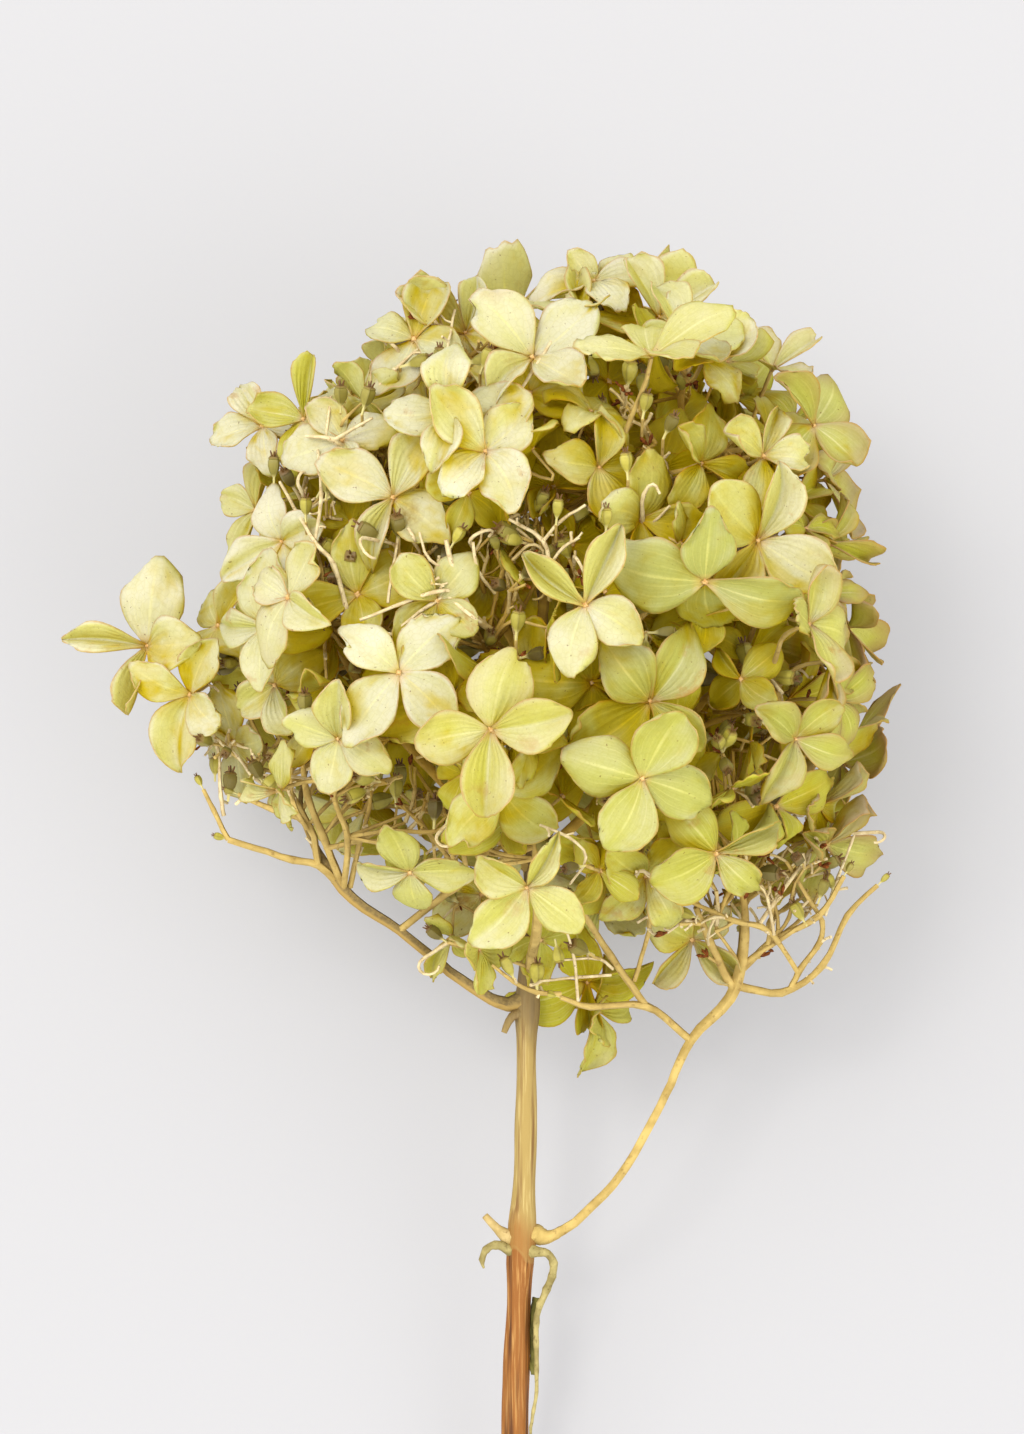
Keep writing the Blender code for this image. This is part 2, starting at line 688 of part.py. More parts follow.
def build_spray(name, spray, collection, finish):
    pieces = []
    for k, twig in enumerate(spray["twigs"]):
        pieces.append(tube(f"{name}_twig_{k}", twig, collection))
    for k, (root, heading) in enumerate(spray["capsules"]):
        pieces.append(tube(f"{name}_capsule_{k}", capsule_path(root, heading), collection))
    for k, floret in enumerate(spray["florets"]):
        pieces.append(floret_solid(f"{name}_floret_{k}", floret, collection))
    return united(name, pieces, finish, collection)


def main():
    for obj in list(bpy.data.objects):
        bpy.data.objects.remove(obj)
    collection = bpy.data.collections.new("dried_hydrangea")
    bpy.context.scene.collection.children.link(collection)
    bark = material("stem bark", (0.42, 0.24, 0.10), 0.75)
    olive = material("withered leaf", (0.30, 0.28, 0.10), 0.8)
    sepal = material("dried sepals", (0.75, 0.76, 0.42), 0.7)
    lying = bpy.data.objects.new("lying_flower", None)
    collection.objects.link(lying)
    lying.location = LYING_AT
    lying.rotation_euler = (math.radians(LYING_PITCH_DEG), math.radians(LYING_ROLL_DEG), 0)
    nodes = [build_stem(collection, bark), build_leaf(collection, olive)]
    for name, spray in plan().items():
        nodes.append(build_spray(name, spray, collection, sepal))
    for node in nodes:
        node.parent = lying
        node.data.shade_smooth()
        node.data.set_sharp_from_angle(angle=math.radians(40))


main()
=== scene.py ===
import json
import math
import random
from functools import partial

import bpy
import numpy as np
from mathutils import Euler, Matrix, Vector
from mathutils.bvhtree import BVHTree

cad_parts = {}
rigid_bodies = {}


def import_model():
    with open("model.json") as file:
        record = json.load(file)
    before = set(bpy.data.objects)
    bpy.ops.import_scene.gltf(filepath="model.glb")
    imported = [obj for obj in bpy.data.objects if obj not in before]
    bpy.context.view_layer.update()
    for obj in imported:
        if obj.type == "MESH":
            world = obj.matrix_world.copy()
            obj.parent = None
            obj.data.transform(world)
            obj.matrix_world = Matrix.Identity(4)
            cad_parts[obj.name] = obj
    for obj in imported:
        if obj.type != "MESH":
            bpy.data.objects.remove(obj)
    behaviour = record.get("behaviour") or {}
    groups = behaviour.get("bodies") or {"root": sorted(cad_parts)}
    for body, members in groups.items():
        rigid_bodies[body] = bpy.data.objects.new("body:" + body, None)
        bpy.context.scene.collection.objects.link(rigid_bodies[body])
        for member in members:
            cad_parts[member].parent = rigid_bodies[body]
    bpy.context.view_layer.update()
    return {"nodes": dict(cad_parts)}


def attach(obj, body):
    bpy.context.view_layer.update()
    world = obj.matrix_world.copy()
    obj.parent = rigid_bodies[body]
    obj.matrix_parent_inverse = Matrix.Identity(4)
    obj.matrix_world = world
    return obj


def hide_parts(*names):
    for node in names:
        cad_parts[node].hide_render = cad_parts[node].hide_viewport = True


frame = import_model()
bpy.ops.object.select_all(action="DESELECT")
print("frame loaded:", len(frame["nodes"]), "nodes")

mm = 0.001
lie = {
    "pitch": 13.4,  # the stem's slope, degrees
    "place": (0.00675, -0.08833, 0.01673),  # where the flower's zero point comes, m
}
lyingTurn = Euler((math.radians(lie["pitch"]), 0, 0)).to_matrix()
lyingMatrix = Matrix.Translation(lie["place"]) @ lyingTurn.to_4x4()


def onTable(u, v, w):
    return lyingMatrix @ (Vector((u, v, w)) * mm)


def linear(code):
    # an sRGB hex colour as the linear values that a shader takes
    shares = [int(code[k : k + 2], 16) / 255 for k in (1, 3, 5)]
    return tuple(c / 12.92 if c <= 0.04045 else ((c + 0.055) / 1.055) ** 2.4 for c in shares) + (1.0,)


def addNode(tree, kind, values=None, output=0):
    # a node with its settings; a socket of another node among them is linked in
    made = tree.nodes.new("ShaderNode" + kind)
    for name, value in (values or {}).items():
        if isinstance(value, bpy.types.NodeSocket):
            tree.links.new(value, made.inputs[name])
        elif isinstance(name, str) and hasattr(made, name):
            setattr(made, name, value)
        else:
            made.inputs[name].default_value = value
    return made.outputs[output] if made.outputs else made


def newMaterial(name):
    # the material, and what adds a node to it
    made = bpy.data.materials.new(name)
    made.use_nodes = True
    made.node_tree.nodes.clear()
    return made, partial(addNode, made.node_tree)


# Camera, light and table

view = {
    "distance": 1100.0,  # from the head's middle plane
    "middle": (-2.6, 143.4),
    "frameHeight": 286.8,  # what the picture's height takes in at that distance
    "sensor": 36.0,
}
softboxes = {
    "small_key": {"place": (-900, 1035, 2475), "size": 0.75, "power": 28.5, "colour": "#FFFEFA"},
    "broad_key": {"place": (-1500, 1200, 2000), "size": 2.0, "power": 22.5, "colour": "#FFFEFA"},
    "fill": {"place": (1600, -600, 2000), "size": 1.8, "power": 27.0, "colour": "#FBFCFF"},
}
sky = {"colour": "#FAFAFB", "strength": 1.53}
panel = {"face": "#8F8E90", "faceGrain": "#91908F", "glow": "#F4F3F5", "glowStrength": 0.29}
lightsAimAt = (0, 150, 0)


def addCamera():
    data = bpy.data.cameras.new("photo_camera")
    data.sensor_width = view["sensor"]
    data.lens = view["sensor"] * view["distance"] / view["frameHeight"]
    camera = bpy.data.objects.new("photo_camera", data)
    bpy.context.scene.collection.objects.link(camera)
    eye = onTable(*view["middle"], view["distance"])
    camera.matrix_world = Matrix.Translation(eye) @ lyingTurn.to_4x4()
    bpy.context.scene.camera = camera


def addSoftbox(name, box):
    data = bpy.data.lights.new(name, "AREA")
    data.size = box["size"]
    data.energy = box["power"]
    data.color = linear(box["colour"])[:3]
    lamp = bpy.data.objects.new(name, data)
    bpy.context.scene.collection.objects.link(lamp)
    away = onTable(*box["place"]) - onTable(*lightsAimAt)
    lamp.location = onTable(*box["place"])
    lamp.rotation_euler = away.to_track_quat("Z", "Y").to_euler()


def addTable():
    # an opal acrylic sheet lit from below: even, pale, shadows stay faint on it
    bpy.ops.mesh.primitive_plane_add(size=6, location=(0, 0, 0))
    table = bpy.context.object
    table.name = "pale_table"
    acrylic, add = newMaterial("opal_acrylic_lit_from_below")
    place = add("TexCoord", None, "Object")
    grain = add("TexNoise", {"Scale": 900.0, "Detail": 2.0, "Vector": place})
    grained = {"data_type": "RGBA", 0: grain, 6: linear(panel["face"]), 7: linear(panel["faceGrain"])}
    settings = {
        "Base Color": add("Mix", grained, 2),
        "Roughness": 0.85,
        "Specular IOR Level": 0.1,
        "Emission Color": linear(panel["glow"]),
        "Emission Strength": panel["glowStrength"],
    }
    add("OutputMaterial", {"Surface": add("BsdfPrincipled", settings)})
    table.data.materials.append(acrylic)


def addWorld():
    world = bpy.data.worlds.new("soft_studio")
    bpy.context.scene.world = world
    world.use_nodes = True
    back = world.node_tree.nodes["Background"]
    back.inputs["Color"].default_value = linear(sky["colour"])
    back.inputs["Strength"].default_value = sky["strength"]


bpy.context.scene.view_settings.view_transform = "Standard"
addCamera()
addWorld()
for name, box in softboxes.items():
    addSoftbox(name, box)
addTable()
print("camera, light and table stand")


# The plan of the head, which the solids follow too

head = {
    "seed": 11,
    "axisU": 4.0,
    "middleV": 147.0,
    "top": 86.0,
    "bottom": 58.0,
    "halfWidth": 65.0,
    "halfDepth": 56.0,
    "power": 2.5,
}
rest = {
    "at": [(-30, 166), (34, 166)],  # the florets nearest to these lie on the table
    "gap": 1.6,
    "backFacing": 0.6,
}
stemRows = [  # u, v, radius from the cut end to the tip of its axis
    (-2.6, -60, 2.9),
    (-2.3, -20, 2.8),
    (-1.8, 12, 2.7),
    (-1.0, 33, 2.8),
    (-0.8, 37, 3.4),
    (-0.6, 41, 3.2),
    (-0.3, 46, 2.5),
    (0.2, 62, 2.25),
    (0.4, 80, 2.1),
    (0.5, 85, 2.6),
    (0.7, 90, 2.2),
    (1.5, 110, 1.8),
    (2.5, 140, 1.5),
    (3.6, 170, 1.2),
    (4.4, 192, 1.0),
]
sprayPlaces = {  # where each leaves the stem, and the middle of its share of the head
    "left_low": (86, (-46, 128, 12)),
    "right_low": (39, (50, 116, 12)),
    "front_low": (92, (4, 116, 48)),
    "back_low": (94, (-4, 120, -44)),
    "left_middle": (112, (-50, 166, 18)),
    "right_middle": (114, (54, 164, 18)),
    "front_middle": (126, (2, 162, 56)),
    "back_left": (122, (-36, 164, -44)),
    "back_right": (124, (44, 160, -42)),
    "left_top": (150, (-32, 206, 12)),
    "right_top": (152, (42, 208, 14)),
    "front_top": (160, (6, 204, 44)),
    "back_top": (158, (4, 204, -38)),
    "crown": (192, (4, 232, 2)),
}
branchRows = {  # the two branches that show bare below the head: u, v, w, radius
    "left_low": [
        (-2.9, 88.0, 0.5, 1.35),
        (-13, 92.5, 3, 1.25),
        (-25, 101, 7, 1.2),
        (-36, 109.2, 10, 1.5),
    ],
    "right_low": [
        (3.3, 39.5, 0.3, 1.5),
        (10, 42.5, 2, 1.25),
        (19, 52, 3, 1.15),
        (27, 66, 4, 1.1),
        (33, 79, 5, 1.25),
        (42, 90, 6, 1.7),
    ],
}
branchFeet = {  # how those two widen into the stem in the finer piece
    "left_low": [
        (0.3, 87.0, 0, 2.4),
        (-1.5, 86.3, 0.4, 1.95),
        (-3.6, 86.0, 0.8, 1.5),
        (-6.8, 87.1, 1.5, 1.25),
        (-13, 91.2, 3, 1.15),
    ],
    "right_low": [
        (0.2, 40.2, -0.3, 2.3),
        (2.3, 39.9, -0.1, 2.15),
        (3.3, 39.5, 0.1, 1.85),
        (4.3, 39.4, 0.3, 1.5),
        (5.6, 39.8, 0.6, 1.2),
        (7.6, 40.9, 1.2, 1.06),
        (10, 42.5, 2, 1.0),
    ],
}
bareTwigs = {  # what those two carry below the florets
    "left_low": [
        [(-36, 109.2, 10, 1.1), (-41, 114, 9, 1.0), (-46, 115, 8, 0.85), (-59, 119, 6, 0.8)],
        [(-59, 119, 6, 0.7), (-62, 125, 6, 0.55), (-64, 129, 6, 0.5)],
        [(-41, 114, 9, 0.9), (-43, 122, 9, 0.85), (-50, 125, 8, 0.7), (-57, 128, 7, 0.6)],
        [(-43, 122, 9, 0.8), (-48, 131, 9, 0.75), (-53, 139, 6, 0.7), (-55, 144, 4, 0.6)],
        [(-36, 109.2, 10, 1.0), (-40, 120, 13, 0.9), (-43, 128, 15, 0.8), (-44, 136, 15, 0.6)],
        [(-25, 101, 7, 0.95), (-14, 109.6, 14, 0.9), (-3, 116, 21, 0.8), (4, 119, 25, 0.6)],
    ],
    "right_low": [
        [(33, 79, 5, 0.95), (24, 86, 8, 0.9), (13, 86, 11, 0.75), (7, 88, 13, 0.6)],
        [(24, 86, 8, 0.9), (17, 96, 10, 0.85), (10, 107, 14, 0.75)],
        [(42, 90, 6, 1.1), (51, 88.6, 7, 0.9), (59, 94, 8, 0.8), (64, 104, 8, 0.7), (70, 110, 8, 0.6)],
        [(43, 93, 6, 0.9), (49, 99, 9, 0.8), (58, 104, 12, 0.7), (63, 112, 13, 0.6)],
    ],
}
frontRows = [  # the florets that face the front: u, v, depth off the head, lean right, lean up, turn, sepal
    (-73.8, 157.6, 4, -0.30, 0.10, 82, 17.0),
    (-69.4, 148.2, 10, -0.35, -0.20, 62, 14.5),
    (-52.4, 201.6, 10, -0.40, 0.30, 10, 12.0),
    (-44.2, 202.8, 0, -0.30, 0.40, 75, 13.0),
    (-14.4, 202.2, 6, -0.10, 0.35, 2, 15.5),
    (-26.8, 188.4, 2, -0.20, 0.20, 55, 15.5),
    (-8.2, 190.6, -2, 0.00, 0.30, 42, 15.5),
    (-21.2, 217.4, 2, -0.10, 0.50, 75, 13.0),
    (-12.0, 223.2, -4, -0.10, 0.30, 68, 13.5),
    (7.6, 218.4, 2, 0.00, 0.35, 40, 15.5),
    (8.4, 230.0, 2, 0.00, 0.75, 20, 12.0),
    (27.2, 226.2, 0, 0.10, 0.60, 30, 12.5),
    (29.8, 216.8, 4, 0.20, 0.65, 15, 14.0),
    (24.6, 209.8, 8, 0.10, 0.80, 10, 15.0),
    (52.4, 215.8, 4, 0.30, 0.85, 5, 12.0),
    (40.0, 211.8, 6, 0.30, 0.70, 20, 14.0),
    (54.0, 202.2, 8, 0.35, 0.25, 38, 13.5),
    (46.4, 180.2, 2, 0.30, 0.05, 58, 17.5),
    (37.4, 171.8, 8, 0.10, -0.55, 0, 17.0),
    (11.0, 165.2, 6, 0.00, 0.10, 65, 15.5),
    (9.8, 196.4, -2, 0.50, 0.10, 85, 13.0),
    (-24.4, 149.2, 2, -0.10, 0.20, 50, 16.5),
    (-15.6, 146.2, -3, -0.05, -0.10, 25, 16.5),
    (-3.4, 142.0, 4, 0.00, -0.10, 82, 17.0),
    (27.8, 148.2, 4, 0.10, 0.00, 42, 16.5),
    (17.4, 131.0, 2, 0.20, -0.20, 70, 16.0),
    (1.2, 109.4, 2, -0.10, -0.35, 55, 15.5),
    (40.4, 119.2, 4, 0.25, -0.30, 35, 15.0),
    (13.6, 153.2, -8, 0.00, -0.10, -5, 15.0),
    (50.0, 136.2, 4, 0.50, -0.05, 55, 14.0),
    (33.4, 99.0, -22, 0.10, -0.40, 60, 12.5),
    (10.6, 89.2, -12, 0.00, -0.50, 10, 13.5),
    (-51.8, 161.6, 8, -0.50, 0.00, 85, 16.0),
    (-47.2, 167.2, 16, -0.70, 0.10, 60, 13.0),
    (-60.6, 160.2, -4, -0.50, 0.30, 60, 12.0),
    (-39.0, 138.8, 4, -0.30, -0.20, 70, 12.0),
    (-48.8, 182.8, 2, -0.40, -0.20, 20, 12.5),
    (-58.6, 186.8, -6, -0.75, 0.10, 70, 13.0),
    (-37.0, 210.0, -6, -0.30, 0.50, 80, 12.0),
    (64.0, 190.8, 0, 0.92, 0.10, 80, 12.5),
    (64.6, 174.8, 4, 0.85, 0.10, 60, 11.5),
    (64.0, 146.8, 4, 0.80, -0.10, 40, 12.5),
    (66.0, 126.8, 6, 0.75, -0.30, 10, 12.0),
    (52.0, 161.8, 12, 0.75, 0.20, 80, 13.0),
    (-23.0, 112.4, -16, -0.20, -0.50, 0, 12.0),
    (-61.6, 140.4, 1, -0.70, -0.30, 85, 12.0),
    (-5.0, 131.8, -6, 0.00, -0.30, 30, 13.5),
    (26.0, 126.8, -9, 0.10, -0.20, 30, 15.5),
    (3.0, 152.8, -12, 0.00, 0.00, 10, 13.0),
    (32.0, 195.0, 0, 0.60, 0.20, 60, 12.5),
    (26.0, 184.8, -4, 0.60, -0.10, 75, 12.5),
    (43.0, 199.0, 2, 0.45, 0.35, 75, 11.5),
    (-32.0, 166.8, -14, -0.20, 0.10, 20, 14.0),
    (-8.0, 170.0, -20, 0.00, 0.20, 50, 13.0),
    (59.0, 154.8, 0, 0.80, 0.00, 60, 13.0),
    (62.0, 117.0, 0, 0.70, -0.35, 80, 13.0),
    (10.0, 178.0, -16, 0.10, 0.10, 30, 12.5),
    (8.0, 137.0, -10, 0.10, -0.20, 60, 13.0),
    (24.0, 112.0, -6, 0.10, -0.45, 50, 13.5),
    (26.0, 163.0, -10, 0.20, 0.00, 40, 13.5),
    (-36.0, 194.0, -6, -0.30, 0.30, 30, 13.0),
    (1.0, 208.0, -8, 0.00, 0.40, 60, 13.0),
    (-50.0, 151.0, -2, -0.45, -0.20, 30, 13.0),
]
fill = {  # the florets that fill the rest of the head
    "undersideV": 110.0,
    "undersideSlope": -0.36,
    "count": 120,
    "room": 19.0,
    "lowest": 0.72,
    "highest": 0.98,
    "size": (13.5, 16.5),
    "depth": (-9.0, 1.0),
    "lean": 0.225,
}
form = {  # a floret's own shape in the solids
    "sepals": 4,
    "notch": 0.16,
    "outline": [(-37, 0.5), (-25, 0.86), (0, 1.02), (25, 0.86), (37, 0.5)],
    "thickness": 0.7,
    "length": (0.84, 1.08),
    "width": (0.82, 1.1),
    "lift": (-0.12, 0.3),
    "twist": (-0.16, 0.16),
    "arch": (-0.02, 0.12),
}
settling = {"sweeps": 40, "gap": 1.6, "share": 0.25, "most": 2.0, "faceReach": 1.05}
growth = {
    "pedicel": 7.0,
    "pedicelRadius": 0.5,
    "pedicelBend": 0.7,
    "pedicelSink": 0.25,
    "thickening": 0.42,
    "sideShare": 0.8,
    "forkReach": 0.6,
    "branchRadius": 1.2,
    "branchFlare": 1.1,
    "branchReach": 0.5,
    "stemGap": 0.35,
    "capsuleFork": 2,
    "capsuleLean": 0.4,
}


def headShare(v):
    reach = head["top"] if v > head["middleV"] else head["bottom"]
    share = min(abs(v - head["middleV"]) / reach, 1.0)
    return max(0.0, 1 - share ** head["power"]) ** (1 / head["power"])


def frontDepth(u, v):
    inside = headShare(v) ** 2 - ((u - head["axisU"]) / head["halfWidth"]) ** 2
    return head["halfDepth"] * math.sqrt(max(0.0, inside))


def surfaceNormal(place):
    slope = (headShare(place.y - 1) ** 2 - headShare(place.y + 1) ** 2) / 2
    across = 2 * (place.x - head["axisU"]) / head["halfWidth"] ** 2
    along = 2 * place.z / head["halfDepth"] ** 2
    return Vector((across, slope, along)).normalized()


def evenSpots(count, turned=0):
    # on a spiral round the head: the height, the head's share of its width there, and the angle
    turn = math.pi * (3 - math.sqrt(5))
    lowest = head["middleV"] - fill["lowest"] * head["bottom"]
    highest = head["middleV"] + fill["highest"] * head["top"]
    for k in range(count):
        v = lowest + (highest - lowest) * (k + 0.5) / count
        yield v, headShare(v), turn * k + turned


def onHead(v, share, angle):
    across = head["halfWidth"] * share * math.cos(angle)
    along = head["halfDepth"] * share * math.sin(angle)
    return Vector((head["axisU"] + across, v, along))


def anyLean(rng):
    return Vector((rng.gauss(0, 1), rng.gauss(0, 1), rng.gauss(0, 1)))


def newFloret(rng, centre, normal, spin, size):
    names = ("length", "width", "lift", "twist", "arch")
    sepals = [{name: rng.uniform(*form[name]) for name in names} for _ in range(form["sepals"])]
    return {
        "centre": centre,
        "normal": normal.normalized(),
        "spin": math.radians(spin),
        "size": size,
        "sepals": sepals,
    }


def seen(u, v, w):
    # where a thing at depth w stands that the camera sees at u, v
    nearer = 1 - w / view["distance"]
    middleU, middleV = view["middle"]
    return Vector((middleU + (u - middleU) * nearer, middleV + (v - middleV) * nearer, w))


def frontFlorets(rng):
    found = []
    for u, v, out, leanU, leanV, spin, size in frontRows:
        centre = seen(u, v, frontDepth(u, v) + out)
        facing = math.sqrt(max(0.0, 1 - leanU**2 - leanV**2))
        found.append(newFloret(rng, centre, Vector((leanU, leanV, facing)), spin, size))
    return found


def fillFlorets(rng, taken):
    found = []
    for v, share, angle in evenSpots(fill["count"]):
        place = onHead(v, share, angle)
        normal = surfaceNormal(place)
        out = rng.uniform(*fill["depth"])
        lean = anyLean(rng) * fill["lean"]
        spin = rng.uniform(0, 90)
        size = rng.uniform(*fill["size"])
        centre = place + normal * out
        near = min((centre - other["centre"]).length for other in taken + found)
        if near > fill["room"] and centre.y > fill["undersideV"] + fill["undersideSlope"] * centre.x:
            found.append(newFloret(rng, centre, normal + lean, spin, size))
    return found


def faceAxes(floret):
    normal = floret["normal"]
    first = Vector((0, 1, 0)).cross(normal)
    if first.length < 0.1:
        first = Vector((1, 0, 0))
    first.normalize()
    return first, normal.cross(first)


def sepalEdge(floret):
    first, second = faceAxes(floret)
    edge = []
    for k, sepal in enumerate(floret["sepals"]):
        turn = floret["spin"] + k * math.tau / form["sepals"]
        points = [(turn - math.pi / form["sepals"], form["notch"], 0.0)]
        for offset, share in form["outline"]:
            angle = turn + math.radians(offset) * sepal["width"] + sepal["twist"] * share
            reach = share * sepal["length"]
            height = sepal["lift"] * reach + sepal["arch"] * math.sin(math.pi * share)
            points.append((angle, reach, height))
        for angle, reach, height in points:
            level = first * math.cos(angle) + second * math.sin(angle)
            edge.append(floret["centre"] + (level * reach + floret["normal"] * height) * floret["size"])
    return edge


def aboveTable(place):
    slope = math.radians(lie["pitch"])
    _, cut, radius = stemRows[0]
    return (place.y - cut) * math.sin(slope) + (place.z + radius) * math.cos(slope)


def tableShift(floret, gap):
    lowest = min(aboveTable(place) for place in sepalEdge(floret)) - form["thickness"] / 2
    return Vector((0, 0, gap - lowest))


def settle(florets):
    back = [floret for floret in florets if floret["normal"].z < -rest["backFacing"]]
    resting = []
    for u, v in rest["at"]:
        spot = Vector((u, v))
        resting.append(min(back, key=lambda floret: (floret["centre"].xy - spot).length))
    for sweep in range(settling["sweeps"] + 1):
        for floret in florets:
            if floret in resting:
                floret["centre"] += tableShift(floret, 0.0)
            elif tableShift(floret, rest["gap"]).z > 0:
                floret["centre"] += tableShift(floret, rest["gap"])
        if sweep < settling["sweeps"]:
            partFlorets(florets)


def partFlorets(florets):
    for one in florets:
        edge = sepalEdge(one)
        for other in florets:
            between = one["centre"] - other["centre"]
            if one is other or between.length > one["size"] + other["size"]:
                continue
            heights = [aboveFace(other, place) for place in edge]
            heights = [height for height in heights if height is not None]
            if not heights:
                continue
            side = 1 if between.dot(other["normal"]) > 0 else -1
            short = settling["gap"] - min(side * height for height in heights)
            if short > 0:
                push = other["normal"] * side * min(short, settling["most"]) * settling["share"]
                one["centre"] += push
                other["centre"] -= push
                edge = [place + push for place in edge]


def aboveFace(floret, place):
    away = place - floret["centre"]
    height = away.dot(floret["normal"])
    level = away - height * floret["normal"]
    reach = level.length / floret["size"]
    if reach > settling["faceReach"]:
        return None
    first, second = faceAxes(floret)
    angle = math.atan2(level.dot(second), level.dot(first)) - floret["spin"]
    sepal = floret["sepals"][round(angle * form["sepals"] / math.tau) % form["sepals"]]
    return height - sepal["lift"] * level.length


def stemAt(v):
    for (u0, v0, r0), (u1, v1, r1) in zip(stemRows, stemRows[1:]):
        if v0 <= v <= v1:
            share = (v - v0) / (v1 - v0)
            return Vector((u0 + (u1 - u0) * share, v, 0)), r0 + (r1 - r0) * share
    return Vector((stemRows[-1][0], stemRows[-1][1], 0)), stemRows[-1][2]


def twigRadius(carried):
    return growth["pedicelRadius"] * carried ** growth["thickening"]


def fork(florets):
    far = max(
        ((a, b) for a in florets for b in florets),
        key=lambda pair: (pair[0]["centre"] - pair[1]["centre"]).length,
    )
    groups = [[], []]
    for floret in florets:
        nearer = [(floret["centre"] - end["centre"]).length for end in far]
        groups[0 if nearer[0] <= nearer[1] else 1].append(floret)
    return groups


def footOf(floret):
    return floret["centre"] - floret["normal"] * growth["pedicel"]


def neckOf(floret):
    return floret["centre"] - floret["normal"] * growth["pedicelSink"]


def asPath(rows, slim=1.0):
    return [(Vector(row[:3]), row[3] / slim) for row in rows]


def pedicelFoot(floret, start):
    ahead = (floret["centre"] - start).normalized()
    bend = (floret["normal"] + ahead * growth["pedicelBend"]).normalized()
    return floret["centre"] - bend * growth["pedicel"]


def nextJoint(start, group):
    feet = [pedicelFoot(floret, start) for floret in group]
    middle = sum(feet, Vector((0, 0, 0))) / len(feet)
    return middle if len(group) == 1 else start.lerp(middle, growth["forkReach"])


def grow(path, florets, twigs, capsules, rng):
    start, thickness = path[-1]
    if len(florets) == 1:
        floret = florets[0]
        path.append((pedicelFoot(floret, start), growth["pedicelRadius"]))
        path.append((neckOf(floret), growth["pedicelRadius"]))
        twigs.append(path)
        return
    groups = fork(florets)
    onward = start - path[-2][0]
    groups.sort(key=lambda group: onward.dot((nextJoint(start, group) - start).normalized()))
    aside, ahead = groups
    sideTwig = [(start, min(twigRadius(len(aside)), thickness * growth["sideShare"]))]
    for group, twig in ((aside, sideTwig), (ahead, path)):
        if len(group) > 1:
            joint = nextJoint(start, group)
            twig.append((joint, twigRadius(len(group))))
        if len(group) > growth["capsuleFork"]:
            lean = anyLean(rng) * growth["capsuleLean"]
            capsules.append((joint, ((joint - start).normalized() + lean).normalized()))
        grow(twig, group, twigs, capsules, rng)


def sprayBranch(name):
    if name in branchRows:
        return asPath(branchRows[name])
    height, middle = sprayPlaces[name]
    root, stemRadius = stemAt(height)
    ahead = Vector(middle) - root
    radius = growth["branchRadius"]
    if name == "crown":
        start = root + Vector((0, growth["stemGap"], 0))
        radius = stemRows[-1][2]
    else:
        slope = ahead.angle(Vector((0, 1, 0)))
        clear = stemRadius + growth["stemGap"] + radius * abs(math.cos(slope))
        start = root + ahead.normalized() * clear / math.sin(slope)
    return [(start, radius * growth["branchFlare"]), (root + ahead * growth["branchReach"], radius)]


def nearestSpray(place):
    return min(sprayPlaces, key=lambda name: (place - Vector(sprayPlaces[name][1])).length)


def planHead():
    rng = random.Random(head["seed"])
    florets = frontFlorets(rng)
    florets += fillFlorets(rng, florets)
    settle(florets)
    sprays = {name: {"florets": [], "twigs": [], "capsules": []} for name in sprayPlaces}
    for floret in florets:
        sprays[nearestSpray(footOf(floret))]["florets"].append(floret)
    for name, spray in sprays.items():
        branch = sprayBranch(name)
        for rows in bareTwigs.get(name, []):
            path = asPath(rows)
            (before, _), (tip, _) = path[-2:]
            spray["twigs"].append(path)
            spray["capsules"].append((tip, (tip - before).normalized()))
        grow(branch, spray["florets"], spray["twigs"], spray["capsules"], rng)
    return sprays


sprays = planHead()
print("head planned:", sum(len(spray["florets"]) for spray in sprays.values()), "florets of the solids")


def nearestJoint(name, place):
    joints = [point for path in sprays[name]["twigs"] for point in path[:-2]]
    return min(joints, key=lambda point: (point[0] - place).length)


def hangFloret(name, floret, radii):
    # onto a spray, by a stalk from its nearest joint
    start, radius = nearestJoint(name, footOf(floret))
    places = (start, footOf(floret), neckOf(floret))
    sprays[name]["twigs"].append(list(zip(places, (min(radius, radii[0]), *radii[1:]))))
    sprays[name]["florets"].append(floret)


# Florets that dried smaller or stayed larger than the plan has them, and one that hangs back in the gap

ownSizes = [  # u, v, size, and how it moves
    (-49.6, 128.1, 0.62, (0, 0, 0)),
    (-19.8, 171.3, 0.72, (2, -4, -12)),
    (10.6, 89.2, 1.26, (1.8, 1.4, 3)),
    (1.2, 109.4, 0.9, (0, 3, 1)),
    (-73.8, 157.6, 1.06, (-2, 0, 0)),
    (-69.4, 148.2, 0.95, (2.5, -1, 0)),
    (8.4, 230.0, 1.0, (4, 0, 0)),
    (52.4, 215.8, 0.9, (-3, -3, 0)),
    (54.0, 202.2, 1.05, (2.5, 0.5, 0)),
    (64.0, 190.8, 1.0, (-4, 0, 0)),
    (64.6, 174.8, 0.95, (-4, 2, -2)),
    (64.0, 146.8, 0.95, (-5, 0, 0)),
    (66.0, 126.8, 0.9, (-7, 0, 0)),
    (-37.0, 210.0, 0.9, (3, -3, 0)),
    (-58.6, 186.8, 0.9, (5, -2, 0)),
]
